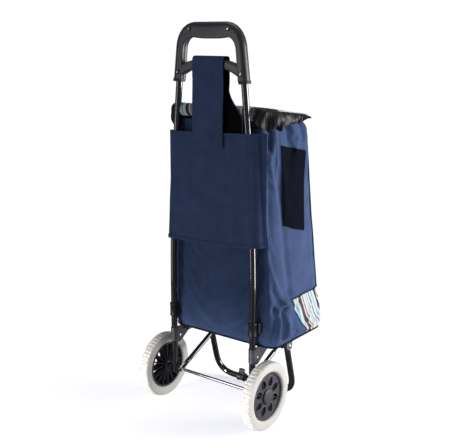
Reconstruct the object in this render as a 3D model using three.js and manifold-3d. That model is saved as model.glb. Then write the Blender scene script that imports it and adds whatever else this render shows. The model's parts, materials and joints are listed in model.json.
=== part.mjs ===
// A two-wheeled folding shopping trolley: a bent-tube frame with a moulded loop handle, a folding
// platform with a U-shaped front leg and two prop struts, and a fabric bag with a soft lid.
// Millimetres. +Z is up, the handle side faces +Y and the bag's front faces -Y.
// The origin is on the floor, under the middle of the whole trolley.
import * as THREE from 'three';
import { mergeVertices } from 'three/addons/utils/BufferGeometryUtils.js';
import Module from 'manifold-3d';

const wasm = await Module();
wasm.setup();

// ---- driving dimensions ----------------------------------------------------------------------
const wheelRadius = 85;
const tyreWidth = 28;
const wheelX = 161;
const axleY = 81;
const axleZ = wheelRadius;
const axleRadius = 4;
const axleEndX = 168;

const gap = 0.3;
const tubeRadius = 8;
const tubeBore = 6.8;
const tubeX = 123.5;
const tubeBottomZ = 73;
const tubeBend = { x: tubeX, z: 430 };
const tubeKink = { x: 105, z: 728 };
const tubeTop = { x: 92.3, z: 862 };

const handleTopZ = 960;
const handleDepth = 24;
const bagBottomZ = 199;
const bagTopZ = 735;
const bagWall = 3;

// Places on the folding platform, as distances behind (+) or in front (-) of the axle.
const shelfPivot = { y: -47, z: 185 };
const legPivot = { y: -150, z: 157 };
const footBar = { y: -190, z: 11 };
const legX = 124;
const railX = 112;
const strutX = 103;
const pinRadius = 3;
const pinHole = 3.35;

// ---- materials -------------------------------------------------------------------------------
const finish = (color, roughness, metalness = 0) =>
  new THREE.MeshStandardMaterial({ color, roughness, metalness });
const blackPaint = finish(0x17181b, 0.28, 0.3);
const blackPlastic = finish(0x1e1f22, 0.5);
const hubPlastic = finish(0x44454c, 0.55);
const tyreFoam = finish(0xe8e4de, 0.8);
const zinc = finish(0xb9bcc2, 0.35, 0.9);
const chrome = finish(0xd8dade, 0.12, 1);
const greySteel = finish(0x9b9da3, 0.45, 0.7);
const nylon = finish(0xd9d9d4, 0.5);
const navyFabric = finish(0x2e3c5a, 0.9);
const meshFabric = finish(0x1c1f2d, 0.9);
const stripeFabric = finish(0xd9d6cc, 0.85);
const skirtFabric = finish(0x111217, 0.6);
const boardCard = finish(0x2b2b2e, 0.9);

// ---- geometry helpers ------------------------------------------------------------------------
const trolley = new THREE.Group();

// Turns a geometry into one indexed closed mesh whose faces point outwards.
function closed(geometry) {
  const bare = new THREE.BufferGeometry();
  bare.setAttribute('position', geometry.getAttribute('position'));
  if (geometry.index) bare.setIndex(geometry.index);
  const merged = mergeVertices(bare, 1e-4);
  const p = merged.getAttribute('position');
  const index = merged.index.array;
  let volume = 0;
  for (let i = 0; i < index.length; i += 3) {
    const [a, b, c] = [0, 1, 2].map((k) => new THREE.Vector3().fromBufferAttribute(p, index[i + k]));
    volume += a.dot(b.cross(c));
  }
  if (volume < 0) {
    for (let i = 0; i < index.length; i += 3) {
      [index[i + 1], index[i + 2]] = [index[i + 2], index[i + 1]];
    }
  }
  return merged;
}

function toSolid(geometry) {
  const mesh = closed(geometry);
  return new wasm.Manifold(new wasm.Mesh({
    numProp: 3,
    vertProperties: new Float32Array(mesh.getAttribute('position').array),
    triVerts: new Uint32Array(mesh.index.array),
  }));
}

function fromSolid(solid) {
  const mesh = solid.getMesh();
  const geometry = new THREE.BufferGeometry();
  geometry.setAttribute('position', new THREE.BufferAttribute(new Float32Array(mesh.vertProperties), 3));
  geometry.setIndex(new THREE.BufferAttribute(new Uint32Array(mesh.triVerts), 1));
  return geometry;
}

const join = (first, ...others) =>
  fromSolid(others.reduce((solid, other) => solid.add(toSolid(other)), toSolid(first)));
const cut = (body, ...tools) =>
  fromSolid(tools.reduce((solid, tool) => solid.subtract(toSolid(tool)), toSolid(body)));

function add(name, geometry, material) {
  const mesh = new THREE.Mesh(closed(geometry), material);
  mesh.name = name;
  trolley.add(mesh);
  return mesh;
}

// Adds the same piece on the left (+X) and, mirrored, on the right (-X).
function addPair(name, geometry, material) {
  add(`${name}_left`, geometry, material);
  add(`${name}_right`, geometry.clone().scale(-1, 1, 1), material);
}

// A rod or a ring along X, from x0 to x1, round the line at (y, z).
function rodX(x0, x1, y, z, radius, bore = 0, sides = 16) {
  const profile = [[bore, 0], [radius, 0], [radius, x1 - x0], [bore, x1 - x0]];
  if (bore > 0) profile.push([bore, 0]);
  const points = profile.map(([r, h]) => new THREE.Vector2(r, h));
  return new THREE.LatheGeometry(points, sides).rotateZ(-Math.PI / 2).translate(x0, y, z);
}

// A piece turned round the X axis from [radius, x] points that close on themselves.
function turnedX(profile, y, z, sides) {
  const points = [...profile, profile[0]].map(([r, x]) => new THREE.Vector2(r, x));
  return new THREE.LatheGeometry(points, sides).rotateZ(-Math.PI / 2).translate(0, y, z);
}

// A flat plate: an outline in (y, z), from x0 to x1.
function plateX(outline, x0, x1, curveSegments = 6) {
  const options = { depth: x1 - x0, bevelEnabled: false, curveSegments };
  return new THREE.ExtrudeGeometry(outline, options)
    .applyMatrix4(new THREE.Matrix4().set(0, 0, 1, x0, 1, 0, 0, 0, 0, 1, 0, 0, 0, 0, 0, 1));
}

// A flat plate: an outline in (x, z), from y0 to y1.
function plateY(outline, y0, y1, curveSegments = 6) {
  return new THREE.ExtrudeGeometry(outline, { depth: y1 - y0, bevelEnabled: false, curveSegments })
    .applyMatrix4(new THREE.Matrix4().set(1, 0, 0, 0, 0, 0, 1, y0, 0, 1, 0, 0, 0, 0, 0, 1));
}

function outlineOf(points) {
  return new THREE.Shape(points.map(([a, b]) => new THREE.Vector2(a, b)));
}

function holeAt(a, b, radius) {
  return new THREE.Path().absarc(a, b, radius, 0, 2 * Math.PI, true);
}

function box(x0, x1, y0, y1, z0, z1) {
  return new THREE.BoxGeometry(x1 - x0, y1 - y0, z1 - z0)
    .translate((x0 + x1) / 2, (y0 + y1) / 2, (z0 + z1) / 2);
}

// Straight runs between the points, with each inner corner rounded to the given radius.
function roundedPath(points, radius) {
  const path = new THREE.CurvePath();
  let from = points[0];
  for (let i = 1; i < points.length - 1; i += 1) {
    const back = points[i - 1].clone().sub(points[i]).normalize();
    const ahead = points[i + 1].clone().sub(points[i]).normalize();
    const turn = Math.PI - back.angleTo(ahead);
    const reach = radius * Math.tan(turn / 2);
    const handle = (4 / 3) * Math.tan(turn / 4) * radius;
    const start = points[i].clone().addScaledVector(back, reach);
    const end = points[i].clone().addScaledVector(ahead, reach);
    path.add(new THREE.LineCurve3(from, start));
    path.add(new THREE.CubicBezierCurve3(
      start,
      start.clone().addScaledVector(back, -handle),
      end.clone().addScaledVector(ahead, -handle),
      end,
    ));
    from = end;
  }
  path.add(new THREE.LineCurve3(from, points[points.length - 1]));
  return path;
}

function tubeAlong(path, radius, bore, sides, steps) {
  const ring = new THREE.Shape().absarc(0, 0, radius, 0, 2 * Math.PI);
  if (bore > 0) ring.holes.push(holeAt(0, 0, bore));
  const options = { steps, extrudePath: path, curveSegments: sides / 2, bevelEnabled: false };
  return new THREE.ExtrudeGeometry(ring, options);
}

const at = (x, y, z) => new THREE.Vector3(x, axleY + y, z);

// ---- frame tubes -----------------------------------------------------------------------------
const tubeRoute = roundedPath([
  at(tubeBend.x, 0, tubeBottomZ),
  at(tubeBend.x, 0, tubeBend.z),
  at(tubeKink.x, 0, tubeKink.z),
  at(tubeTop.x, 0, tubeTop.z),
], 120);
const axleHole = rodX(0, wheelX, axleY, axleZ, axleRadius + 0.35);
addPair('frame_tube', cut(tubeAlong(tubeRoute, tubeRadius, tubeBore, 10, 12), axleHole), blackPaint);

// ---- axle, its spacers and its end clips -----------------------------------------------------
add('axle', rodX(-axleEndX, axleEndX, axleY, axleZ, axleRadius), chrome);
const spacerStart = tubeX + tubeRadius + gap;
const hubInnerX = wheelX - tyreWidth / 2 + 1;
addPair('axle_spacer', rodX(spacerStart, hubInnerX - 0.8, axleY, axleZ, 7, axleRadius + 0.35), nylon);
const clipX = axleEndX - 3;
addPair('axle_clip', rodX(clipX, clipX + 1.5, axleY, axleZ, 7, axleRadius + gap), zinc);

// ---- wheels ----------------------------------------------------------------------------------
const hubRadius = 59;
const rimWall = 4;
const webInnerX = wheelX + 4;
const webOuterX = webInnerX + 5;
const hubOuterX = wheelX + 12;

function tyre() {
  const half = tyreWidth / 2;
  const bead = hubRadius + gap;
  return turnedX([
    [bead, wheelX - half + 1], [bead + 8, wheelX - half], [74, wheelX - half], [80, wheelX - half + 3],
    [83.5, wheelX - half + 8], [wheelRadius, wheelX - 3], [wheelRadius, wheelX + 3],
    [83.5, wheelX + half - 8], [80, wheelX + half - 3], [74, wheelX + half], [bead + 8, wheelX + half],
    [bead, wheelX + half - 1],
  ], axleY, axleZ, 32);
}

function hub() {
  const rim = turnedX([
    [hubRadius - rimWall, hubInnerX], [hubRadius, hubInnerX], [hubRadius, hubOuterX],
    [hubRadius - rimWall, hubOuterX],
  ], 0, 0, 32);
  const boss = rodX(hubInnerX, hubOuterX - 3, 0, 0, 21, 15, 16);
  const web = new THREE.Shape().absarc(0, 0, hubRadius - 1, 0, 2 * Math.PI);
  web.holes.push(holeAt(0, 0, 7 + gap));
  const petals = 8;
  for (let i = 0; i < petals; i += 1) {
    const turn = ((i + 0.5) / petals) * 2 * Math.PI;
    const point = (r, side) => {
      const a = turn + side;
      return new THREE.Vector2(r * Math.cos(a), r * Math.sin(a));
    };
    web.holes.push(new THREE.Path([
      point(26, 0), point(31, -0.17), point(38, -0.17), point(46, 0), point(38, 0.17), point(31, 0.17),
    ]));
  }
  const disc = plateX(web, webInnerX, webOuterX, 14);
  const sleeve = rodX(hubInnerX, webInnerX + 1, 0, 0, 11, 7 + gap, 16);
  return join(disc, rim, boss, sleeve).translate(0, axleY, axleZ);
}

addPair('tyre', tyre(), tyreFoam);
addPair('wheel_hub', hub(), hubPlastic);
addPair('wheel_bush', rodX(hubInnerX, clipX - 0.5, axleY, axleZ, 7, axleRadius + 0.35), nylon);
addPair('hub_cap', rodX(webOuterX + gap, webOuterX + 4, axleY, axleZ, 14.6, 0, 20), hubPlastic);

// ---- collars and gussets on the tubes --------------------------------------------------------
const collarZ = { low: 228, high: 262 };
const collarRadius = 11.2;

function collar() {
  const ring = new THREE.Shape().absarc(tubeX, -axleY, collarRadius, 0, 2 * Math.PI);
  ring.holes.push(holeAt(tubeX, -axleY, tubeRadius + gap));
  const height = collarZ.high - collarZ.low;
  const sleeve = new THREE.ExtrudeGeometry(ring, { depth: height, bevelEnabled: false, curveSegments: 8 })
    .applyMatrix4(new THREE.Matrix4().set(1, 0, 0, 0, 0, -1, 0, 0, 0, 0, 1, collarZ.low, 0, 0, 0, 1));
  const tab = box(tubeX + 6, tubeX + 18, axleY - 11, axleY - 7, 234, 264);
  return join(sleeve, tab);
}

const sleeveWall = 1.3;
const wingHalf = 1.2;

function gusset() {
  const outer = rodX(0, 35, 0, 0, tubeRadius + gap + sleeveWall, tubeRadius + gap, 16)
    .rotateY(-Math.PI / 2).translate(tubeX, axleY, 160);
  const front = axleY - tubeRadius - 1;
  const wing = outlineOf([
    [front, 161], [front, 194], [axleY - 62, 194], [axleY - 66, 190], [axleY - 64, 178],
    [axleY - 22, 150], [axleY - 12, 150],
  ]);
  wing.holes.push(holeAt(axleY + shelfPivot.y, shelfPivot.z, pinHole));
  wing.holes.push(holeAt(axleY - 23, 167, 4));
  return join(outer, plateX(wing, tubeX - wingHalf, tubeX + wingHalf));
}

addPair('frame_collar', collar(), blackPlastic);
addPair('gusset', gusset(), blackPaint);

// ---- folding platform ------------------------------------------------------------------------
const railHalf = 1.5;
const railZ = { low: 179, high: 195 };
const crossbarZ = 190;
const crossbarRadius = 5;
const frontBarY = -150;
const rearBarY = -82;

// Rail and outer cheek share the round-ended lobe that hangs down to the leg pivot.
function lobe(rearY) {
  const pivot = new THREE.Vector2(axleY + legPivot.y, legPivot.z);
  const shape = new THREE.Shape();
  shape.moveTo(axleY + rearY, railZ.high);
  shape.lineTo(pivot.x - 14, railZ.high);
  shape.lineTo(pivot.x - 14, railZ.low + 3);
  shape.absarc(pivot.x, pivot.y, 11, -Math.PI, Math.PI / 6);
  shape.lineTo(pivot.x + 22, railZ.low);
  shape.lineTo(axleY + rearY, railZ.low);
  shape.holes.push(holeAt(pivot.x, pivot.y, pinHole));
  shape.holes.push(holeAt(axleY + frontBarY, crossbarZ - 1, crossbarRadius - 1 + gap));
  return shape;
}

function rail() {
  const shape = lobe(shelfPivot.y + 9);
  shape.holes.push(holeAt(axleY + shelfPivot.y, shelfPivot.z, pinHole));
  return plateX(shape, railX - railHalf, railX + railHalf);
}

const cheekX = legX + tubeRadius + gap;
addPair('shelf_rail', rail(), blackPaint);
addPair('leg_bracket', plateX(lobe(legPivot.y + 30), cheekX, cheekX + 2), greySteel);
const frontBar = rodX(-cheekX - 3, cheekX + 3, axleY + frontBarY, crossbarZ - 1, crossbarRadius - 1, 0, 12);
add('shelf_front_bar', frontBar, blackPaint);
// The rear bar hangs under the slats and stops short of the struts, which swing past its ends.
const rearBarEnd = 90;
const rearBar = rodX(-rearBarEnd, rearBarEnd, axleY + rearBarY, crossbarZ, crossbarRadius - 0.5, 0, 12);
add('shelf_rear_bar', rearBar, blackPaint);
const slatZ = crossbarZ + crossbarRadius;
addPair('shelf_slat', box(32, 50, axleY + frontBarY - 8, axleY + rearBarY + 8, slatZ, slatZ + 3), blackPaint);

const headThick = 1.8;
const tailThick = 1;

// A rivet from x0 to x1: a shank with a thin clenched tail inside and a domed head outside.
function rivet(x0, x1, y, z) {
  const head = 5.2;
  return turnedX([
    [0, x0], [head - 1, x0], [head, x0 + tailThick], [pinRadius, x0 + tailThick],
    [pinRadius, x1 - headThick], [head, x1 - headThick], [head, x1 - 1.2], [head - 1.4, x1], [0, x1],
  ], y, z, 10);
}

const wingOuterX = tubeX + wingHalf;
const railInnerX = railX - railHalf;
const shelfPivotY = axleY + shelfPivot.y;
const legPivotY = axleY + legPivot.y;
const rivetOut = wingOuterX + gap + headThick;
addPair('shelf_rivet', rivet(railInnerX - gap - tailThick, rivetOut, shelfPivotY, shelfPivot.z), zinc);
const rivetSpacer = rodX(
  railX + railHalf + gap, tubeX - wingHalf - gap, shelfPivotY, shelfPivot.z, 5.5, pinHole, 12,
);
addPair('rivet_spacer', rivetSpacer, zinc);
addPair('leg_rivet', rivet(strutX - 4.4, cheekX + 2 + gap + headThick, legPivotY, legPivot.z), zinc);

// ---- prop struts -----------------------------------------------------------------------------
const strutRise = Math.atan2(legPivot.z - axleZ, -legPivot.y);
const strutLength = Math.hypot(legPivot.z - axleZ, legPivot.y);
const strutRadius = 6;

// Lies along -Y from the axle, is turned up to its slope, and has a flattened tab at each end.
function strut() {
  const tabHalf = 1.8;
  const tabWidth = 8;
  const shank = new THREE.CylinderGeometry(strutRadius, strutRadius, strutLength - 44, 12)
    .translate(0, -strutLength / 2, 0);
  const lowTab = new THREE.Shape().absarc(0, 0, tabWidth, -Math.PI / 2, Math.PI / 2);
  lowTab.lineTo(-26, tabWidth - 3);
  lowTab.lineTo(-26, -tabWidth + 3);
  lowTab.holes.push(holeAt(0, 0, axleRadius + 0.35));
  const tip = -strutLength;
  const topTab = new THREE.Shape();
  topTab.moveTo(tip + 26, -5);
  topTab.lineTo(tip + 26, 5);
  topTab.lineTo(tip + 1.8, 5);
  topTab.absarc(tip, 0, 4.02, 1.1071, -1.1071, true);
  topTab.lineTo(tip + 1.8, -5);
  const flat = (shape) => plateX(shape, -tabHalf, tabHalf);
  return join(shank, flat(lowTab), flat(topTab)).rotateX(-strutRise).translate(strutX, axleY, axleZ);
}

addPair('strut', strut(), blackPaint);

// ---- front leg with its foot clips -----------------------------------------------------------
const legRun = new THREE.Vector3(0, footBar.y - legPivot.y, footBar.z - legPivot.z);
const legTopOver = 10;
const legTop = (x) => at(x, legPivot.y, legPivot.z).addScaledVector(legRun.clone().normalize(), -legTopOver);
const legRoute = roundedPath([
  legTop(legX), at(legX, footBar.y, footBar.z), at(-legX, footBar.y, footBar.z), legTop(-legX),
], 45);
const legHole = rodX(-cheekX, cheekX, legPivotY, legPivot.z, pinHole, 0, 12);
add('front_leg', cut(tubeAlong(legRoute, tubeRadius, tubeBore, 10, 28), legHole), blackPaint);

function footClip() {
  const y = axleY + footBar.y;
  const shape = outlineOf([
    [y - 9, 0], [y + 9, 0], [y + 11.5, 8], [y + 11, 16], [y + 6, 22], [y + 4, 34], [y - 3, 34],
    [y - 4, 22.5], [y - 11, 16], [y - 11.5, 8],
  ]);
  shape.holes.push(holeAt(y, footBar.z, tubeRadius + gap));
  return plateX(shape, 35, 57, 8);
}

addPair('foot_clip', footClip(), blackPlastic);

// ---- handle ----------------------------------------------------------------------------------
// An upside-down U seen from behind; each leg is a socket round the end of a frame tube.
function handleOutline() {
  const shape = new THREE.Shape();
  shape.moveTo(-111, 826);
  shape.lineTo(-99.6, 912);
  shape.bezierCurveTo(-96, 940, -78, handleTopZ, -47, handleTopZ);
  shape.lineTo(47, handleTopZ);
  shape.bezierCurveTo(78, handleTopZ, 96, 940, 99.6, 912);
  shape.lineTo(111, 826);
  shape.lineTo(76, 826);
  shape.lineTo(72.5, 900);
  shape.bezierCurveTo(71, 918, 62, 927, 50, 927);
  shape.bezierCurveTo(30, 923, -30, 923, -50, 927);
  shape.bezierCurveTo(-62, 927, -71, 918, -72.5, 900);
  shape.lineTo(-76, 826);
  return shape;
}

const socketRoute = (side) => new THREE.LineCurve3(
  at(side * (tubeTop.x + 6), 0, tubeTop.z - 63.3),
  at(side * (tubeTop.x - 0.1), 0, tubeTop.z + 1),
);
const sockets = [1, -1].map((side) => tubeAlong(socketRoute(side), tubeRadius + gap + 0.1, 0, 12, 1));
const handleHalf = (y0, y1) => cut(plateY(handleOutline(), axleY + y0, axleY + y1, 8), ...sockets);
const gripSeat = { halfWidth: 37, low: 925, high: 952, depth: 2.5 };

function gripInsert(extra) {
  const { halfWidth, low, high, depth } = gripSeat;
  const middle = (low + high) / 2 + 1;
  const shape = new THREE.Shape();
  shape.moveTo(-halfWidth - extra, middle);
  shape.quadraticCurveTo(0, low - 1 + 8 - 2 * extra, halfWidth + extra, middle);
  shape.quadraticCurveTo(0, high + 10 + 2 * extra, -halfWidth - extra, middle);
  const back = axleY + handleDepth / 2;
  return plateY(shape, back - depth - extra, back + 1, 10);
}

const handleBack = cut(handleHalf(gap / 2, handleDepth / 2), gripInsert(gap));
add('handle_back', handleBack, blackPlastic);
add('handle_front', handleHalf(-handleDepth / 2, -gap / 2), blackPlastic);
add('grip_insert', gripInsert(0), blackPlastic);

function brace() {
  const shape = new THREE.Shape();
  const end = 72;
  shape.moveTo(-end, 872);
  shape.quadraticCurveTo(0, 888, end, 872);
  shape.lineTo(end, 842);
  shape.bezierCurveTo(60, 858, 30, 862, 0, 862);
  shape.bezierCurveTo(-30, 862, -60, 858, -end, 842);
  return plateY(shape, axleY - 9, axleY + 9, 8);
}

add('cross_brace', brace(), blackPlastic);

function handleScrew(x, z) {
  const back = axleY + handleDepth / 2 + gap;
  return rodX(0, 2, 0, 0, 4, 0, 12).rotateZ(Math.PI / 2).translate(x, back, z);
}

addPair('handle_screw_top', handleScrew(57, 944), zinc);
addPair('handle_screw_low', handleScrew(93, 845.5), zinc);

// ---- bag -------------------------------------------------------------------------------------
const bagBackY = -13;

// Half-width and front of the bag at height z: both grow towards the bottom.
const bagDown = (z) => Math.max(0, (bagTopZ - z) / (bagTopZ - bagBottomZ));
const bagHalfWidth = (z) => 147 + 33 * bagDown(z) ** 1.25;
const bagFrontY = (z) => -204 - 39 * bagDown(z) ** 1.1;

// Maps a point of a 2 x 1 x height block, x from -1 to 1 and y from 0 (back) to 1 (front), to the bag.
function shapeToBag(geometry, grow = 0) {
  const p = geometry.getAttribute('position');
  for (let i = 0; i < p.count; i += 1) {
    const z = p.getZ(i);
    const back = bagBackY + grow;
    const depth = back - (bagFrontY(z) - grow);
    p.setXY(i, p.getX(i) * (bagHalfWidth(z) + grow), axleY + back - p.getY(i) * depth);
  }
  return geometry;
}

function bagBlock(z0, z1, grow, steps) {
  const r = { x: 0.2, y: 0.14 };
  const shape = new THREE.Shape();
  shape.moveTo(-1 + r.x, 0);
  shape.lineTo(1 - r.x, 0);
  shape.quadraticCurveTo(1, 0, 1, r.y);
  shape.lineTo(1, 1 - r.y);
  shape.quadraticCurveTo(1, 1, 1 - r.x, 1);
  shape.lineTo(-1 + r.x, 1);
  shape.quadraticCurveTo(-1, 1, -1, 1 - r.y);
  shape.lineTo(-1, r.y);
  shape.quadraticCurveTo(-1, 0, -1 + r.x, 0);
  const options = { depth: z1 - z0, steps, bevelEnabled: false, curveSegments: 4 };
  const block = new THREE.ExtrudeGeometry(shape, options)
    .translate(0, 0, z0);
  return shapeToBag(block, grow);
}

const bagInside = bagBlock(bagBottomZ + bagWall, bagTopZ + 20, -bagWall, 5);
add('bag_body', cut(bagBlock(bagBottomZ, bagTopZ, 0, 5), bagInside), navyFabric);

const boardZ = bagBottomZ + bagWall + gap;
const board = { halfWidth: 160, front: -226, back: -62, notchX: 88, notchY: -124 };

// The stiff board in the bag's bottom. Its rear corners are cut away where the struts swing past.
function baseBoard() {
  const { halfWidth, front, back, notchX, notchY } = board;
  const outline = new THREE.Shape([
    [-halfWidth, front], [halfWidth, front], [halfWidth, notchY], [notchX, notchY], [notchX, back],
    [-notchX, back], [-notchX, notchY], [-halfWidth, notchY],
  ].map(([x, y]) => new THREE.Vector2(x, axleY + y)));
  return new THREE.ExtrudeGeometry(outline, { depth: 3, bevelEnabled: false }).translate(0, 0, boardZ);
}

add('base_board', baseBoard(), boardCard);

// A flat pocket on the bag's right side: a thin block pushed out from the bag's skin.
function sidePocket() {
  const span = { y0: 0.3, y1: 0.83, z0: 470, z1: 672 };
  const build = (innerX, extraY, extraZ, grow) => {
    const { y0, y1, z0, z1 } = span;
    const height = z1 - z0 + 2 * extraZ;
    const block = new THREE.BoxGeometry(1 + innerX, y1 - y0 + 2 * extraY, height, 1, 1, 3)
      .translate((innerX - 1) / 2, (y0 + y1) / 2, (z0 + z1) / 2);
    return shapeToBag(block, grow);
  };
  return cut(build(-0.9, 0, 0, 3.4), build(0, 0.1, 1, 0.7));
}

add('side_pocket', sidePocket(), meshFabric);

function frontPocket() {
  const outer = bagBlock(bagBottomZ + 1, 300, 4, 2);
  const inner = bagBlock(bagBottomZ - 5, 306, 0.7, 2);
  const rear = box(-300, 300, axleY - 132, axleY + 20, 0, 400);
  return cut(outer, inner, rear);
}

add('front_pocket', frontPocket(), stripeFabric);

// The back panel is sewn to the bag's back edges and holds the frame tubes in its sleeve.
function backPanel() {
  const half = 142;
  const back = axleY + 13;
  const front = axleY + bagBackY + gap;
  const wall = 3;
  const shape = outlineOf([
    [-half, front], [-half, back], [half, back], [half, front], [half - wall, front],
    [half - wall, back - wall], [-half + wall, back - wall], [-half + wall, front],
  ]);
  return new THREE.ExtrudeGeometry(shape, { depth: 274, bevelEnabled: false }).translate(0, 0, 438);
}

add('back_panel', backPanel(), navyFabric);

// The strap hangs over the brace: a short run in front, a long run behind.
function strap() {
  const outline = (out) => {
    const half = 11.5 + out;
    const top = 884;
    const shape = new THREE.Shape();
    shape.moveTo(axleY - half, 778);
    shape.lineTo(axleY - half, top - 8);
    shape.quadraticCurveTo(axleY - half, top + out, axleY, top + out);
    shape.quadraticCurveTo(axleY + half + 2, top + out, axleY + half + 2, top - 8);
    shape.lineTo(axleY + half + 2, 674);
    return shape.getPoints(4);
  };
  const ribbon = new THREE.Shape([...outline(2.6), ...outline(0).reverse()]);
  return plateX(ribbon, -45, 45);
}

add('strap', strap(), navyFabric);

// The lid's fabric is rolled over the bag's back rim, between the frame tubes.
const roll = { y: -14, z: 755, radius: 15, end: 90 };
const rollGeometry = turnedX([
  [0, -roll.end], [roll.radius - 4, -roll.end], [roll.radius, -roll.end + 8],
  [roll.radius, roll.end - 8], [roll.radius - 4, roll.end], [0, roll.end],
], 0, 0, 14).translate(0, axleY + roll.y, roll.z);
add('lid_roll', rollGeometry, stripeFabric);

const lidZ = { low: 745, high: 750 };
const lidBackY = -32;

function ringOutline(x, frontY, backY, corner) {
  const shape = new THREE.Shape();
  shape.moveTo(-x, backY);
  shape.lineTo(-x, frontY + corner);
  shape.quadraticCurveTo(-x, frontY, -x + corner, frontY);
  shape.lineTo(x - corner, frontY);
  shape.quadraticCurveTo(x, frontY, x, frontY + corner);
  shape.lineTo(x, backY);
  return shape.getPoints(5);
}

function lidPanel() {
  const shape = new THREE.Shape(ringOutline(154, axleY - 214, axleY + lidBackY, 30));
  return new THREE.ExtrudeGeometry(shape, { depth: lidZ.high - lidZ.low, bevelEnabled: false })
    .translate(0, 0, lidZ.low);
}

function lidSkirt() {
  const outer = ringOutline(155, axleY - 215, axleY + lidBackY - 4, 30);
  const inner = ringOutline(151.5, axleY - 211.5, axleY + lidBackY - 4, 27).reverse();
  const shape = new THREE.Shape([...outer, ...inner]);
  const height = lidZ.low - gap - 722;
  return new THREE.ExtrudeGeometry(shape, { depth: height, bevelEnabled: false }).translate(0, 0, 722);
}

add('lid_panel', lidPanel(), stripeFabric);
add('lid_skirt', lidSkirt(), skirtFabric);

export default trolley;
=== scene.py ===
# %% [markdown]
# # A folding shopping trolley
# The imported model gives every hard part's place and every joint. This script dresses it: smooth tubes, a
# moulded handle, foam tyres with a pressed tread, and above all the sewn bag with its striped lid. Lengths
# are written in millimetres, with Y measured from the wheel axle and Z from the floor, because a maker
# would measure the real trolley that way. One function turns them into the part's own metres.

# %% Load the frame
import json
import math

import bpy
import bmesh
import numpy as np
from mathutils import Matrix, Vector

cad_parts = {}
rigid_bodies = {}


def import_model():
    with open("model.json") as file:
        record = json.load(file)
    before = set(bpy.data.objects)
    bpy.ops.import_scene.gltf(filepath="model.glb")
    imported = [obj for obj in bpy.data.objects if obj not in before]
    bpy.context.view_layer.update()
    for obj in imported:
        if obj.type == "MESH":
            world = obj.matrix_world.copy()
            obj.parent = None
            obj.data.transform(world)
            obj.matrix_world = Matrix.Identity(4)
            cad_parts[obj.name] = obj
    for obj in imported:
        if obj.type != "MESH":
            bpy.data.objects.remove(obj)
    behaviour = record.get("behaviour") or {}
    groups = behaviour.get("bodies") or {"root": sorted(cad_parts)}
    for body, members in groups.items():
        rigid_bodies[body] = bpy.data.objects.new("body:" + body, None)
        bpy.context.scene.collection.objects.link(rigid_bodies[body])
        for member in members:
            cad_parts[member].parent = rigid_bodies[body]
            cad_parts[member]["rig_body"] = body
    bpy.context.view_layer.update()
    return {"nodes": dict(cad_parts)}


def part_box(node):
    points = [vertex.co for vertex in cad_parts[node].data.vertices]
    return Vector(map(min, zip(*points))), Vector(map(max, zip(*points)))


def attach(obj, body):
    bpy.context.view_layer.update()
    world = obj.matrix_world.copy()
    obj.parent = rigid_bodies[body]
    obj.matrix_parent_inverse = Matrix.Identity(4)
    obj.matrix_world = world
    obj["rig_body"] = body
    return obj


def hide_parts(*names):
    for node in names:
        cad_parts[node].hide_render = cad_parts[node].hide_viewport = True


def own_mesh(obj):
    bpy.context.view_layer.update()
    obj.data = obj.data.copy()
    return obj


for leftover in list(bpy.data.objects):
    bpy.data.objects.remove(leftover)
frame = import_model()
MM = 0.001
AXLE_Y = (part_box("axle")[0].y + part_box("axle")[1].y) / 2


# %% Millimetres in and out
def place(points):
    """Millimetres from the axle and the floor become metres: scale by 0.001, then add the axle's Y."""
    return np.asarray(points, dtype=float) * MM + np.array([0.0, AXLE_Y, 0.0])


def span(node):
    """A CAD node's lowest and highest corners in the same millimetres."""
    low, high = (np.array(corner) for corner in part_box(node))
    shift = np.array([0.0, AXLE_Y, 0.0])
    return (low - shift) / MM, (high - shift) / MM


AXLE_Z = float(span("axle")[0][2] + span("axle")[1][2]) / 2
SIDES = {"left": 1, "right": -1}
print("axle at Y", round(AXLE_Y, 4), "m, height", round(AXLE_Z, 1), "mm")

# %% [markdown]
# ## The camera and the light
# The trolley is seen from behind, from its right side, a little above the middle: a long lens about two
# metres away. The light is a plain studio. A broad soft lamp stands in front and to the right, a narrow
# strip behind and to the left, a third lamp hangs overhead, and a small low one behind lights the wheels.
# So the bag's side is brighter than its back, and the round tubes carry long clean highlights. The white
# backdrop is there only for what the camera sees directly; everything else meets a faint pale surround.

# %% Camera
view_turn = math.radians(37.47)
view_drop = math.radians(13.32)
look = Vector((math.sin(view_turn) * math.cos(view_drop),
               -math.cos(view_turn) * math.cos(view_drop), -math.sin(view_drop)))
look_at = Vector((0.0, 0.028, 0.4764))
look_distance = 1.99
camera_data = bpy.data.cameras.new("studio_camera")
camera_data.lens = 64.59
camera_data.sensor_width = 36.0
camera = bpy.data.objects.new("studio_camera", camera_data)
camera.location = look_at - look * look_distance
camera.rotation_euler = look.to_track_quat("-Z", "Y").to_euler()
bpy.context.scene.collection.objects.link(camera)
bpy.context.scene.camera = camera
print("camera at", [round(c, 3) for c in camera.location])


# %% Lamps and surround
def soft_lamp(name, at, aim, size, power):
    """An area lamp, wide by high in metres, at one point and facing another; its power is in watts."""
    data = bpy.data.lights.new(name, "AREA")
    data.shape, data.energy = "RECTANGLE", power
    data.size, data.size_y = size
    lamp = bpy.data.objects.new(name, data)
    lamp.location = at
    lamp.rotation_euler = (Vector(aim) - Vector(at)).to_track_quat("-Z", "Y").to_euler()
    bpy.context.scene.collection.objects.link(lamp)


def mix_shaders(tree, factor, first, second, output):
    """One shader where the factor is 0 and another where it is 1, sent to the output node's surface."""
    node = tree.nodes.new("ShaderNodeMixShader")
    for socket, origin in zip(node.inputs, (factor, first, second)):
        tree.links.new(origin, socket)
    tree.links.new(node.outputs[0], output.inputs["Surface"])


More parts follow.
